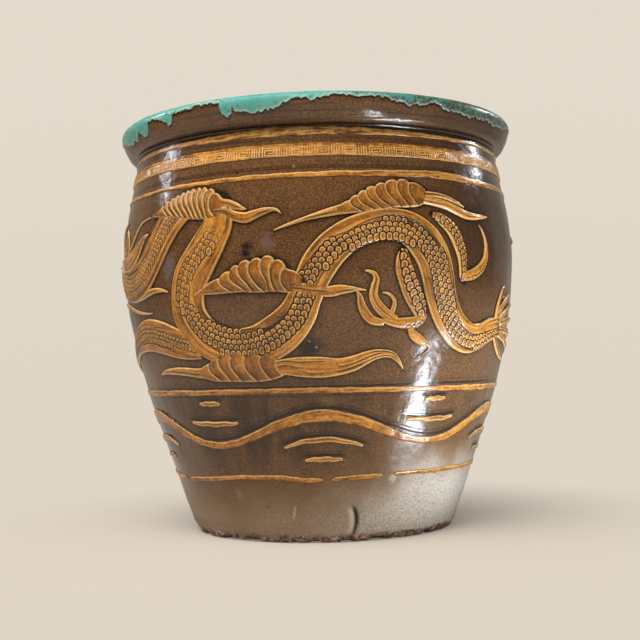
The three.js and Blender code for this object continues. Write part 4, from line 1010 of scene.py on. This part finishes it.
@fired_once("amber_glaze_on_clay")
def make_amber_glaze(recipe, colours):
    """Amber glaze on the applied clay: pale where it is worn thin and black where it pools."""
    groove, ridge, wash = recipe.mark("groove"), recipe.mark("ridge"), recipe.mark("wash")
    fine = recipe.noise(420, 4, 0.65)
    blotch = recipe.noise(62, 4, 0.6)
    broad = recipe.noise(11, 2)
    thick = 1 - recipe.rise(wash * 0.55 + blotch * 0.5 + broad * 0.25, 0.42, 0.86)
    colour = recipe.coats(
        colours.amber,
        (thick, colours.amber_deep),
        (recipe.rise(recipe.noise(170, 3, 0.65), 0.5, 0.66) * 0.4, tone("amber_mottle")),
        (recipe.rise(fine, 0.53, 0.72) * 0.35, colours.ridge),
        (recipe.rise(fine, 0.47, 0.3) * 0.4, tone("amber_fleck")),
        (ridge * (0.45 + recipe.rise(fine, 0.3, 0.7) * 0.5), colours.ridge),
        (recipe.rise(groove + (fine - 0.5) * 0.3, 0.12, 0.8), colours.groove))
    rough = 0.22 + (recipe.noise(120, 2) - 0.5) * 0.2
    bump = fine * 0.2 + recipe.noise(150, 2) * 0.9
    return recipe.fire(colour, rough, bump, 0.0005, 0.05, 0.5)


def finish_clay(piece, context, *nodes):
    """Gives a piece of applied clay its amber glaze, ties it to the jar, and hides the solids that it stands
    for.
    """
    finish_piece(piece, make_amber_glaze(context.scene.jar_colours), "amber_glaze", *nodes)


@fired_once("turquoise_lip_glaze")
def make_lip_glaze(recipe, colours):
    """Thick turquoise glaze of the lip, rust-flecked and thin towards the right and darkened there as painted
    shade, pale along its runs.
    """
    fine = recipe.noise(420, 3, 0.6)
    cloud = recipe.noise(38, 4, 0.6)
    # Greener and rustier towards the right: partly thin rusty glaze, partly painted shade of the jar's darker
    # side.
    worn = recipe.rise(recipe.along("X") + (cloud - 0.5) * 0.16, -0.05, 0.2)
    rust = recipe.rise(recipe.noise(190, 5, 0.75) + worn * 0.13 + recipe.mark("thin") * 0.06, 0.58, 0.66)
    colour = recipe.coats(
        colours.turquoise,
        (recipe.rise(cloud, 0.4, 0.66) * 0.5, tone("lip_cloud")),
        (worn * 0.9, colours.green),
        (rust * 0.9, tone("lip_rust")),
        (recipe.mark("ridge") * (0.95 - worn * 0.6), tone("lip_pale")),
        (recipe.mark("groove"), tone("lip_dark")))
    rough = 0.26 + (fine - 0.5) * 0.14 + worn * 0.1
    return recipe.fire(colour, rough, fine * 0.2 + cloud * 1.0, 0.0005, 0.25, 0.4)


@fired_once("chipped_foot_clay")
def make_foot_clay(recipe, colours):
    """Foot of the jar: the dry end of the glaze, chipped to reddish clay at the edge."""
    ground, _, fine = brown_ground(recipe, colours)
    height = recipe.along("Z") + (recipe.noise(48, 4, 0.65) - 0.5) * 0.022
    chipped = recipe.rise(height, 0.0095, 0.0055)
    coarse = recipe.noise(210, 4, 0.75)
    clay = recipe.coats(tone("clay_dark"), (recipe.rise(coarse, 0.42, 0.54), colours.bare_clay),
                        (recipe.rise(coarse, 0.54, 0.64), tone("clay_pale")))
    colour = recipe.coats(ground, (recipe.mark("pool_and_shade"), tone("foot_pool")),
                          (recipe.mark("bare"), tone("scraped")), (chipped, clay))
    rough = 0.55 + chipped * 0.3
    return recipe.fire(colour, rough, fine * 0.6 + coarse * chipped * 3.0, 0.0012, 0.05 - chipped * 0.05)


@fired_once("washed_coil_clay")
def make_coil_clay(recipe, colours):
    """Clay of the coils smeared over the seams inside, under a thin wash of brown glaze."""
    fine = recipe.noise(380, 3, 0.6)
    smear = recipe.noise(1, 3, 0.6, recipe.stretched((30, 30, 90)))
    colour = recipe.coats(colours.ground, (recipe.rise(smear, 0.35, 0.68), tone("coil_clay")),
                          (recipe.rise(fine, 0.52, 0.75) * 0.5, colours.bare_clay))
    return recipe.fire(colour, 0.5 + (fine - 0.5) * 0.3, fine + smear * 1.6, 0.0008, 0.1)


class StudioPaper(Recipe):
    """Paper of the floor and backdrop: real shade round the jar, an even pale tone far from it."""

    def __init__(self, colours):
        super().__init__("studio_paper")
        even = self.blend(self.rise(self.along("Z"), 0.0, BEND_RADIUS), colours.floor, colours.backdrop)
        fibre = self.noise(300)
        paper = self.add("ShaderNodeBsdfPrincipled", {}, {
            "Base Color": self.blend(fibre * 0.05, colours.paper, tone("fibre")), "Roughness": 0.9,
            "Specular IOR Level": 0.1}, "BSDF")
        glow = self.add("ShaderNodeEmission", {}, {"Color": even, "Strength": 1.0})
        rays = self.tree.nodes.new("ShaderNodeLightPath").outputs
        seen = Wire(self, rays["Is Camera Ray"]) + Wire(self, rays["Is Glossy Ray"]) * 0.3
        seen = seen + Wire(self, rays["Is Transmission Ray"])
        seen = self.add("ShaderNodeMath", {"operation": "MINIMUM"}, {0: seen, 1: 1.0})
        share = seen * self.rise(self.distance((0, 0, 0)), -0.05, 0.62)
        shader = self.add("ShaderNodeMixShader", {}, {0: share, 1: paper, 2: glow})
        self.add("ShaderNodeOutputMaterial", {}, {"Surface": shader})


class JAR_OT_walls(bpy.types.Operator):
    """Turn the lower, belly and neck walls, uneven as thrown, with the scars, the pooled glaze and the
    painted shade round the frieze and under the rim
    """
    bl_idname = "jar.walls"
    bl_label = "Walls"

    def execute(self, context):
        finish = make_brown_glaze(context.scene.jar_colours)
        for name, node, bottom, top, pace, steps, glaze in (
                ("wall_lower", "lower_wall", BASE_THICKNESS, WAIST, 1.3, 680, self.glaze_lower),
                ("wall_belly", "belly_wall", WAIST + 0.1, SHOULDER, 2.2, 620, self.glaze_belly),
                ("wall_neck", "neck_wall", SHOULDER + 0.1, NECK_TOP, 1.6, 600, self.glaze_neck)):
            outer = np.linspace(bottom, top, int((top - bottom) / pace) + 1)
            inner = np.linspace(top, bottom, int((top - bottom) / 9) + 1)
            outline = [(wall_radius(z), z) for z in outer]
            outline += [(wall_radius(z) - WALL_THICKNESS, z) for z in inner]
            piece = turn_outline(name, outline, steps)
            angle, height, radius = read_points(piece)
            outside = radius > wall_radius(height) - 1
            pool_and_shade, bare, relief = glaze(angle, height)
            moved = radius + np.where(outside, wobble(angle, height) + relief, 0.7 * np.sin(height / 6.4))
            marks = {"pool_and_shade": pool_and_shade * outside, "bare": bare * outside}
            set_points(piece, round_jar(angle, height, moved), marks)
            finish_piece(piece, finish, "brown_glaze", node)
        return {"FINISHED"}

    @staticmethod
    def glaze_lower(angle, height):
        """Dark lines beside the waist line and above the waves, and the scar: pool, bare clay and relief."""
        wave = height - wave_height(angle)
        wide = 1.3 * np.cos(np.radians(angle * WAVE_COUNT))
        above = 1.2 * bell(wave, 8.0 + wide, 1.8) + 0.7 * bell(wave, 12.4 + wide, 0.8)
        for turn, climb, half_span, droop in RIPPLES.values():
            apart = np.mod(angle - turn + WAVE_SPAN / 2, WAVE_SPAN) - WAVE_SPAN / 2
            line = WAVE_MIDDLE + climb + 5.0 - droop * (apart / half_span) ** 2
            length = step(1.3, 0.85, np.abs(apart) / half_span)
            lines = 1.2 * bell(height, line, 1.7) + 0.6 * bell(height, line + 3.8, 0.8)
            above = above + lines * length
        cut, lip, bare = scar(angle, height)
        pool_and_shade = np.maximum(bell(height, 185, 1.8), 0.6 * bell(height, 174.6, 0.9))
        pool_and_shade = np.maximum(np.maximum(pool_and_shade, above), 0.5 * cut)
        return pool_and_shade, bare, lip - cut - 0.7 * above

    @staticmethod
    def glaze_belly(angle, height):
        """Glaze pooled at the foot of the frieze with a wider faint painted shade round it, and a dark line
        over the waist line.
        """
        gap = np.maximum(clearance(angle, height, FRIEZE), 0)
        # Narrow term: glaze pooled where the clay meets the wall; wide faint term: painted shade round the
        # relief.
        halo = 0.75 * bell(gap, 0, 1.4) + 0.12 * bell(gap, 0, 7)
        return np.maximum(halo, 0.5 * bell(height, 189.2, 1.2)), 0 * angle, 0

    @staticmethod
    def glaze_neck(angle, height):
        """Dark lines at the step of the shoulder, and a dark band under the rim that is pooled glaze in the
        corner and painted shade of the rim's overhang.
        """
        pool_and_shade = np.maximum(0.8 * bell(height, 430.6, 1.1), 0.5 * bell(height, 433.4, 0.7))
        # The band from 476 mm up is partly painted shade under the rim's bead.
        return np.maximum(pool_and_shade, 0.7 * step(476, 480, height)), 0 * angle, 0


class JAR_OT_rim(bpy.types.Operator):
    """Turn the rim collar and lay the turquoise glaze on its lip, with runs down its face"""
    bl_idname = "jar.rim"
    bl_label = "Rim and lip glaze"

    def execute(self, context):
        colours = context.scene.jar_colours
        depth = context.scene.jar_sizes.glaze_depth / MM
        outline = self.rounded(RIM_FACE + RIM_BORE)
        piece = turn_outline("collar", [tuple(point) for point in outline], 840)
        angle, height, radius = read_points(piece)
        face = radius > 236
        lump = 0.35 * np.sin(np.radians(angle) * 5 + 1) + 0.25 * np.sin(np.radians(angle) * 11 + height / 9)
        below = self.drip_height(angle) - height
        # Dark band at the foot of the collar: pooled glaze in the corner and painted shade under the bead;
        # the line under the runs is the glaze's edge.
        pool_and_shade = np.where(face, 0.95 * bell(height, 481.6, 1.3) + bell(below, 0.6, 1.3), 0)
        moved = radius + lump * step(481, 490, height) * step(516, 506, height)
        set_points(piece, round_jar(angle, height, moved), {"pool_and_shade": pool_and_shade, "bare": 0 * pool_and_shade})
        finish_piece(piece, make_brown_glaze(colours), "brown_glaze", "rim_collar")
        glaze = self.lay_glaze(outline, depth)
        finish_piece(glaze, make_lip_glaze(colours), "green_glaze", "lip_glaze")
        return {"FINISHED"}

    @staticmethod
    def rounded(points):
        """Outline with its points doubled twice along smooth curves."""
        points = np.array(points, float)
        for _ in range(2):
            ahead = np.vstack([points[1:], points[-1:]])
            before = np.vstack([points[:1], points[:-1]])
            beyond = np.vstack([ahead[1:], ahead[-1:]])
            middles = (9 * (points + ahead) - before - beyond) / 16
            points = np.stack([points, middles], axis=1).reshape(-1, 2)[:-1]
        return points

    @staticmethod
    def drip_height(angle):
        """Height of the ragged lower edge of the lip glaze."""
        angles, heights = np.array(DRIP_EDGE, float).T
        teeth = 2.2 * (ragged(angle * 0.8 + 400, 5) - 0.5) + 3.6 * (ragged(angle * 1.5 + 900, 6) - 0.5)
        return np.interp(angle, angles, heights) + teeth

    def lay_glaze(self, outline, depth):
        """Coat of glaze over the lip, from the ragged edge of its runs to a short way down the bore."""
        lengths = np.concatenate([[0], np.cumsum(np.hypot(*np.diff(outline, axis=0).T))])
        tangent = np.gradient(outline, axis=0)
        tangent /= np.linalg.norm(tangent, axis=1)[:, None]
        crown = int(np.argmax(outline[:, 1]))
        angle = np.linspace(-180, 180, 1080, endpoint=False)
        start = np.interp(self.drip_height(angle), outline[:crown, 1], lengths[:crown])
        bore = 502 + 3 * ragged(angle / 4 + 60, 9)
        end = np.interp(bore, outline[crown:, 1][::-1], lengths[crown:][::-1])
        angle, start, end = angle[:, None], start[:, None], end[:, None]
        share = np.linspace(0, 1, 45)
        run = start + (end - start) * (0.5 * share + 0.5 * step(0, 1, share))
        near = np.minimum(run - start, end - run)
        lift = depth * (1 - np.exp(-near / 0.9)) - 0.25 * np.exp(-near / 0.3) + 0.5 * bell(near, 1.8, 1.1)
        lift = lift + 0.35 * (grain(angle * 0.8 + 300, run * 0.4, 12) - 0.5) * step(0.5, 3, near)
        broken = bell(near, 1.5, 0.9) * (0.4 + 0.6 * grain(angle * 1.4 + 300, run * 0.7, 14))

        def closed(values, under):
            return np.hstack([values, np.full((len(values), 2), under), values[:, :1]])
        run, lift = np.hstack([run, run[:, [30, 14]], run[:, :1]]), closed(lift, -0.8)
        radius = np.interp(run, lengths, outline[:, 0]) + lift * np.interp(run, lengths, tangent[:, 1])
        height = np.interp(run, lengths, outline[:, 1]) - lift * np.interp(run, lengths, tangent[:, 0])
        points = round_jar(angle, height, radius)
        marks = {"ridge": closed(broken, 0) * step(48, 30, run - start), "thin": closed(step(6, 1, near), 1),
                 "groove": 0.8 * closed(bell(near, 0, 0.45), 1)}
        marks = {name: np.vstack([values, values[:1]]) for name, values in marks.items()}
        return lay_sheet("lip_coat", np.vstack([points, points[:1]]), marks)


class JAR_OT_foot(bpy.types.Operator):
    """Turn the base slab with its chipped edge, and the coils smeared over the seams inside"""
    bl_idname = "jar.foot"
    bl_label = "Foot and inside coils"

    def execute(self, context):
        colours = context.scene.jar_colours
        finish_piece(self.turn_slab(), make_foot_clay(colours), "bare_clay", "base_slab")
        seam = [(COIL_DEPTH * (1 - t * t) ** 0.8 - 0.4, COIL_RISE * t) for t in np.linspace(-1, 1, 21)]
        for name, node, middle, section in (
                ("coil_base", "base_coil", FLOOR_HEIGHT + 9, BASE_COIL),
                ("coil_waist", "waist_coil", WAIST + 10, seam),
                ("coil_shoulder", "shoulder_coil", SHOULDER + 10, seam)):
            coil = self.turn_coil(name, [(depth, middle + climb) for depth, climb in section], middle)
            finish_piece(coil, make_coil_clay(colours), "bare_clay", node)
        return {"FINISHED"}

    @staticmethod
    def turn_slab():
        """Base slab with chips round its lower edge and the foot of the scar."""
        plateau = wall_radius(BASE_THICKNESS) - WALL_THICKNESS - 0.3
        outline = [(r, 0) for r in (0, 40, 80, 120, 150, 160, 165)] + [(167.4, 0.6), (168.4, 1.8)]
        outline += [(wall_radius(z), z) for z in np.linspace(4, BASE_THICKNESS, 13)]
        outline += [(plateau, BASE_THICKNESS), (plateau, FLOOR_HEIGHT)]
        outline += [(r, FLOOR_HEIGHT) for r in (150, 120, 80, 40, 0)]
        slab = turn_outline("foot_slab", outline, 600)
        angle, height, radius = read_points(slab)
        face = radius > 155
        chip = step(0.5, 0.8, ragged(angle / 4.2 + 100, 21)) * (0.4 + ragged(angle * 0.9 + 300, 22))
        low = step(13, 1, height)
        cut, lip, bare = scar(angle, height)
        rough = 4.5 * chip * low + 1.6 * low * grain(angle * 1.3 + 500, height / 2, 23)
        moved = radius + np.where(face, wobble(angle, height) - rough + lip - cut, 0)
        chipped = 2.6 * chip + 0.6 * ragged(angle * 1.1 + 700, 24)
        raised = height + np.where(face & (height < 3), chipped, 0)
        set_points(slab, round_jar(angle, raised, moved), {"pool_and_shade": 0.3 * cut * face, "bare": bare * face})
        return slab

    @staticmethod
    def turn_coil(name, front, middle):
        """Coil on the inside of the wall, with the smears of a thumb, from its depth and height."""
        outline = [(wall_radius(z) - WALL_THICKNESS - depth, z) for depth, z in front]
        outline += [(wall_radius(z) - WALL_THICKNESS + 2.2, z) for z in (front[-1][1], middle, front[0][1])]
        coil = turn_outline(name, outline, 360)
        angle, height, radius = read_points(coil)
        inner = radius < wall_radius(height) - WALL_THICKNESS - 0.6
        smear = 0.9 * np.sin(np.radians(angle) * 36 + 0.3 * height)
        smear = smear * (0.4 + grain(angle / 5 + 80, height / 6, 31))
        set_points(coil, round_jar(angle, height, radius + np.where(inner, smear, 0)), {})
        return coil


class JAR_OT_lines(bpy.types.Operator):
    """Lay the neck, shoulder and waist lines and the band of key fret"""
    bl_idname = "jar.lines"
    bl_label = "Lines and key fret"

    def execute(self, context):
        rise = context.scene.jar_sizes.line_rise / MM
        # The neck line's larger worn share is painted light where the rim shades it.
        for name, node, table, seed, worn in (("line_neck", "neck_line", NECK_LINE, 41, 0.5),
                                              ("line_shoulder", "shoulder_line", SHOULDER_LINE, 44, 0.1),
                                              ("line_waist", "waist_line", WAIST_LINE, 47, 0.1)):
            finish_clay(lay_line(name, table, rise, seed, 900, worn=worn), context, node)
        finish_clay(self.lay_fret(), context, "fret_band")
        return {"FINISHED"}

    @staticmethod
    def lay_fret():
        """Flat band with a stamped key fret: ticks and squared spirals by turns."""
        angle = np.linspace(-180, 180, 2100, endpoint=False)[:, None]
        half = FRET_HALF - 0.9 * ragged(angle / 2 + 80, 51)
        up = np.linspace(-FRET_HALF, FRET_HALF, 31)[None, :] * half / FRET_HALF
        repeat = 360 / FRET_COUNT
        drift = 1.2 * (ragged(angle / 9 + 50, 52) - 0.5)
        along = np.mod(angle + FRET_TURN + drift, repeat) * FRET_REPEAT / repeat
        line = fret_lines(along, up + FRET_DROP)
        stamped = 0.45 + 0.55 * grain(angle / 5 + 70, up / 9 + 20, 54)
        raised = (1 - step(0.35, 0.85, line)) * stamped
        lift = FRET_RISE * edge_shape(up, half, 1.6) + 0.5 * raised - 0.4 * (np.abs(up) > 0.99 * half)
        brushed = 0.6 * grain(angle / 3 + 90, up / 1.2 + 30, 53) + 0.4 * grain(angle + 90, up / 3 + 30, 55)
        between = step(0.6, 1.0, line) * step(6.5, 5.2, np.abs(up + FRET_DROP)) * stamped
        groove = np.maximum(0.5 * step(0.6, 0.95, 1 - brushed), 0.42 * between)
        groove = np.maximum(groove * (1 - raised), 1 - step(-0.35, 0.45, lift))
        edge = bell(half + up, 1.0, 0.8)
        ridge = np.maximum(raised, np.maximum(0.7 * edge, 0.2 * step(0.6, 0.9, brushed)))
        wide = angle + 0 * up
        return lay_clay("band_fret", wide, FRET_MIDDLE + up, lift, groove, ridge, brushed, ring=True)


class JAR_OT_waves(bpy.types.Operator):
    """Lay the wave line, the ripple strokes and the broken foot line"""
    bl_idname = "jar.waves"
    bl_label = "Waves and foot line"

    def execute(self, context):
        turns = np.linspace(-180, 180, 361)
        halves = 5.8 + 1.4 * np.cos(np.radians(turns * WAVE_COUNT))
        table = np.stack([turns, wave_height(turns) - 0.3, halves], axis=1)
        wave = lay_line("line_wave", table, context.scene.jar_sizes.wave_rise / MM, 61, 1000)
        finish_clay(wave, context, "wave_line")
        strokes, nodes = [], []
        for number in range(WAVE_COUNT):
            for kind, stroke in RIPPLES.items():
                knots = self.stroke_knots(number, *stroke)
                strokes.append(lay_limb(f"stroke_{number + 1}_{kind}", knots, RIPPLE_RISE, (), 70 + number,
                                        ends=(3, 3), pace=0.7))
                nodes.append(f"ripple_{number + 1}_{kind}")
        finish_clay(join_clay("strokes_ripple", strokes), context, *nodes)
        table = [(angle, height, FOOT_HALF) for angle, height in FOOT_LINE]
        rolls = [lay_line(f"roll_{number}", table, FOOT_RISE, 81 + number, int((end - start) * 3),
                          (start, end), ring=False) for number, (start, end) in enumerate(FOOT_LENGTHS)]
        nodes = [f"foot_line_{number + 1}" for number in range(len(FOOT_LENGTHS))]
        finish_clay(join_clay("rolls_foot", rolls), context, *nodes)
        return {"FINISHED"}

    @staticmethod
    def stroke_knots(number, turn, climb, half_span, droop):
        """Knots of a ripple stroke of one wave, a little uneven."""
        middle, height = number * WAVE_SPAN + turn, WAVE_MIDDLE + climb
        return [(middle + half_span * share,
                 height - droop * share * share + 0.5 * math.sin(9 * share + number),
                 RIPPLE_HALF * (1 - 0.5 * share * share)) for share in np.linspace(-1, 1, 9)]


class JAR_OT_clouds(bpy.types.Operator):
    """Press the six ribbed clouds and their trailing tails"""
    bl_idname = "jar.clouds"
    bl_label = "Clouds"

    def execute(self, context):
        rise = context.scene.jar_sizes.cloud_rise / MM
        for number, group in enumerate(RIBS, 1):
            parts = [lay_cloud_body(f"{group}_body", group, rise, 90 + number)]
            for tail, knots in enumerate(DRAWN[group][1:]):
                wide = max(knot[2] for knot in knots)
                lines = (-0.5, 0.05, 0.55) if wide > 9 else (-0.15,) if wide > 5 else (0.1,)
                parts.append(lay_limb(f"{group}_tail_{tail}", knots, 0.8 * rise, (), 100 + 7 * number + tail,
                                      lines=lines))
            finish_clay(join_clay(f"{group}_pressed", parts), context, group)
        return {"FINISHED"}


class JAR_OT_torso(bpy.types.Operator):
    """Lay the dragon's neck, coil and arched back with their rows of scales"""
    bl_idname = "jar.torso"
    bl_label = "Dragon's torso"

    def execute(self, context):
        sizes = context.scene.jar_sizes
        rise, pitch = sizes.torso_rise / MM, sizes.scale_pitch / MM
        above = (*FRONT_CLOUDS, "head")
        for name, group, node, cell, seed in (("torso_neck", "neck", "dragon_neck", 0.85 * pitch, 3),
                                              ("torso_coil", "coil", "dragon_coil", pitch, 7),
                                              ("torso_arch", "arch", "dragon_arch", pitch, 12)):
            finish_clay(lay_torso(name, group, rise, cell, above, seed), context, node)
        return {"FINISHED"}


class JAR_OT_limbs(bpy.types.Operator):
    """Lay the legs with their claws, and the tuft of the tail"""
    bl_idname = "jar.limbs"
    bl_label = "Legs and tail tuft"

    def execute(self, context):
        rise = context.scene.jar_sizes.limb_rise / MM
        for name, group, node, covered, scales, lines in (
                ("leg_hind", "hind", "hind_leg", (*FRONT_CLOUDS, "arch"),
                 {0: (-0.5, 0.9, 8.6), 1: (0.05, 0.9, 7.2)}, {3: (0.15,), 2: (0.2,)}),
                ("leg_fore", "fore", "fore_leg", (*FRONT_CLOUDS, "arch"),
                 {0: (-0.2, 0.85, 6.8), 1: (-0.9, -0.3, 5.2)}, {}),
                ("leg_far", "far", "far_leg", (*FRONT_CLOUDS, "coil"),
                 {0: (-0.35, 0.25, 5.8)}, {0: (-0.6, 0.5), 1: (0.1,)}),
                ("tuft_tail", "tuft", "tail_tuft", ("arch",),
                 {}, {number: (-0.35, 0.3) for number in range(7)})):
            parts = [lay_limb(f"{name}_{number}", knots, rise, covered, 140 + 11 * number,
                              scales.get(number), lines.get(number, ()))
                     for number, knots in enumerate(DRAWN[group])]
            finish_clay(join_clay(name, parts), context, node)
        return {"FINISHED"}


class JAR_OT_head(bpy.types.Operator):
    """Lay the dragon's head with its horns, jaw, eye and whisker, and the locks of hair behind it"""
    bl_idname = "jar.head"
    bl_label = "Dragon's head and hair"

    def execute(self, context):
        sizes = context.scene.jar_sizes
        rise, hair = sizes.torso_rise / MM, sizes.hair_rise / MM
        plans = ((1, (-0.55, 0.6)), (1, (0.2,)), (0.8, (0.1,)), (0.8, (0.1,)), (0.8, ()))
        parts = [lay_limb(f"head_{number}", knots, rise * share, (), 180 + number, lines=lines)
                 for number, (knots, (share, lines)) in enumerate(zip(DRAWN["head"], plans))]
        parts += [lay_limb(name, knots, rise * share, (), 230, ends=(2, 2), pace=0.6, sunk=depth * rise)
                  for name, (knots, share, depth) in FEATURES.items()]
        behind = ("neck", "mane", "whisker")
        parts.append(lay_limb("fringe", DRAWN["fringe"][0], hair, behind, 212, lines=(-0.5, 0, 0.5)))
        finish_clay(join_clay("head_dragon", parts), context, "dragon_head")
        for name, group, node, covered, lines in (
                ("lock_mane", "mane", "mane_lock", ("neck", "head"), (-0.5, 0, 0.5)),
                ("whisker_mane", "whisker", "mane_whisker", ("cloud_1", "neck", "head"), ()),
                ("lock_shoulder", "lock", "shoulder_lock", ("neck", "head"), (0.0,)),
                ("lock_beard", "beard", "beard_lock", ("neck", "head"), ())):
            finish_clay(lay_limb(name, DRAWN[group][0], hair, covered, 200, lines=lines), context, node)
        return {"FINISHED"}


class JAR_OT_pearl(bpy.types.Operator):
    """Lay the flaming pearl on the back of the jar"""
    bl_idname = "jar.pearl"
    bl_label = "Flaming pearl"

    def execute(self, context):
        sizes = context.scene.jar_sizes
        finish_clay(self.lay_pearl(sizes.cloud_rise / MM), context, "pearl")
        rise = sizes.limb_rise / MM
        tongues = [lay_limb(f"tongue_{number}", knots, rise, ("pearl",), 250 + number, lines=(0.1,))
                   for number, knots in enumerate(DRAWN["flame"])]
        finish_clay(join_clay("flame_tongues", tongues), context, "pearl_flame")
        return {"FINISHED"}

    @staticmethod
    def lay_pearl(rise):
        """Domed disc with a swirl."""
        strip = Strip(DRAWN["pearl"][0], 0.7)
        across, ahead = spread(strip, 0.7), strip.run[:, None] - strip.length / 2
        apart = np.hypot(ahead, across) / PEARL_RADIUS
        swirl = np.sin(14 * apart - np.arctan2(across, ahead))
        lift = rise * np.sqrt(np.clip(1 - apart ** 2.4, 0, 1)) + 0.5 * swirl * step(1, 0.8, apart)
        groove = np.maximum(0.8 * step(0.3, 0.95, -swirl), outline_dark(lift))
        ridge, wash = 0.7 * step(0.3, 0.95, swirl), 0.5 + 0.4 * swirl
        return lay_clay("pearl_disc", *strip.place(across), lift, groove, ridge, wash)


class JAR_OT_stage(bpy.types.Operator):
    """Set the floor and curved backdrop, the soft lamps and the camera"""
    bl_idname = "jar.stage"
    bl_label = "Studio"

    def execute(self, context):
        scene = context.scene
        self.sweep(scene.jar_colours)
        self.light(scene)
        self.look(scene)
        scene.view_settings.view_transform = "Standard"
        return {"FINISHED"}

    @staticmethod
    def sweep(colours):
        """Floor that curves up into the backdrop."""
        start_fresh()
        bpy.ops.mesh.primitive_plane_add(size=1)
        floor = bpy.context.object
        floor.name = "studio_sweep"
        bpy.ops.object.mode_set(mode="EDIT")
        bpy.ops.mesh.select_all(action="SELECT")
        bpy.ops.transform.resize(value=FLOOR_SIZE)
        bpy.ops.transform.translate(value=FLOOR_SHIFT)
        bpy.ops.mesh.select_all(action="DESELECT")
        bpy.ops.object.mode_set(mode="OBJECT")
        for corner in floor.data.vertices:
            corner.select = corner.co.y > 0
        bpy.ops.object.mode_set(mode="EDIT")
        stride = BEND_RADIUS * math.pi / 2 / BEND_STEPS
        leans = [(number + 0.5) / BEND_STEPS * math.pi / 2 for number in range(BEND_STEPS)]
        strides = [(0, stride * math.cos(lean), stride * math.sin(lean)) for lean in leans]
        for move in strides + [(0, 0, BACKDROP_HEIGHT)]:
            bpy.ops.mesh.extrude_region_move(TRANSFORM_OT_translate={"value": move})
        bpy.ops.mesh.select_all(action="SELECT")
        bpy.ops.mesh.normals_make_consistent(inside=False)
        bpy.ops.object.mode_set(mode="OBJECT")
        bpy.ops.object.shade_smooth()
        floor.data.materials.append(StudioPaper(colours).material)

    def light(self, scene):
        """Dim air, lamps round the jar and cards of light on the floor."""
        world = bpy.data.worlds.new("studio_air")
        world.use_nodes = True
        air = world.node_tree.nodes["Background"].inputs
        air["Color"].default_value, air["Strength"].default_value = AIR_TINT, AIR_STRENGTH
        scene.world = world
        for name, (turn, lift, away, *lamp) in LAMPS.items():
            turn, lift = math.radians(turn), math.radians(lift)
            level = away * math.cos(lift)
            offset = Vector((level * math.sin(turn), -level * math.cos(turn), away * math.sin(lift)))
            turned = (-offset).to_track_quat("-Z", "Y").to_euler()
            self.stand_lamp(scene, name, LAMP_AIM + offset, turned, *lamp)
        for name, (place, turn, spread_angle, *lamp) in CARDS.items():
            flat = Matrix.Rotation(math.radians(turn - 90), 3, "Z") @ Matrix.Rotation(math.pi, 3, "X")
            card = self.stand_lamp(scene, name, place, flat.to_euler(), *lamp)
            card.spread = math.radians(spread_angle)

    @staticmethod
    def stand_lamp(scene, name, place, turned, wide, tall, watts, tint):
        """Lamp out of the camera's sight: a wide soft one lights the clay, a small one shows in the glaze."""
        lamp = bpy.data.lights.new(name, "AREA")
        lamp.shape = "RECTANGLE"
        lamp.size, lamp.size_y = wide, tall
        lamp.energy = watts
        lamp.color = tint
        stand = bpy.data.objects.new(name, lamp)
        scene.collection.objects.link(stand)
        stand.location = place
        stand.rotation_euler = turned
        stand.visible_camera = False
        stand.visible_glossy = wide < 1
        stand.visible_diffuse = wide > 0.4
        return lamp

    @staticmethod
    def look(scene):
        """Camera that sees the jar as the photo does."""
        lens = bpy.data.cameras.new("photo_view")
        lens.sensor_width = FILM_WIDTH
        lens.lens = FILM_WIDTH * PHOTO_FOCUS / PHOTO_WIDTH
        view = bpy.data.objects.new("photo_view", lens)
        scene.collection.objects.link(view)
        tilt = Matrix.Rotation(math.radians(90 + CAMERA_TILT), 4, "X")
        roll = Matrix.Rotation(math.radians(CAMERA_ROLL), 4, "Z")
        view.matrix_world = Matrix.Translation(CAMERA_PLACE) @ tilt @ roll
        scene.camera = view


class JAR_PT_panel(bpy.types.Panel):
    """Steps of the jar in making order"""
    bl_label = "Century Egg Jar"
    bl_idname = "JAR_PT_panel"
    bl_space_type = "VIEW_3D"
    bl_region_type = "UI"
    bl_category = "Egg Jar"

    def draw(self, context):
        for operator in STEPS:
            self.layout.operator(operator.bl_idname)
        for group in (context.scene.jar_sizes, context.scene.jar_colours):
            for name in group.bl_rna.properties.keys():
                if name not in ("rna_type", "name"):
                    self.layout.prop(group, name)


STEPS = (JAR_OT_stage, JAR_OT_foot, JAR_OT_walls, JAR_OT_rim, JAR_OT_lines, JAR_OT_waves, JAR_OT_clouds,
         JAR_OT_torso, JAR_OT_limbs, JAR_OT_head, JAR_OT_pearl)
CLASSES = (JarSizes, JarColours, *STEPS, JAR_PT_panel)


def register():
    for one in CLASSES:
        bpy.utils.register_class(one)
    bpy.types.Scene.jar_sizes = bpy.props.PointerProperty(type=JarSizes)
    bpy.types.Scene.jar_colours = bpy.props.PointerProperty(type=JarColours)


def unregister():
    del bpy.types.Scene.jar_sizes
    del bpy.types.Scene.jar_colours
    for one in reversed(CLASSES):
        bpy.utils.unregister_class(one)


def main():
    register()
    for group, name in [tuple(operator.bl_idname.split(".")) for operator in STEPS]:
        getattr(getattr(bpy.ops, group), name)()


if __name__ == "__main__":
    main()
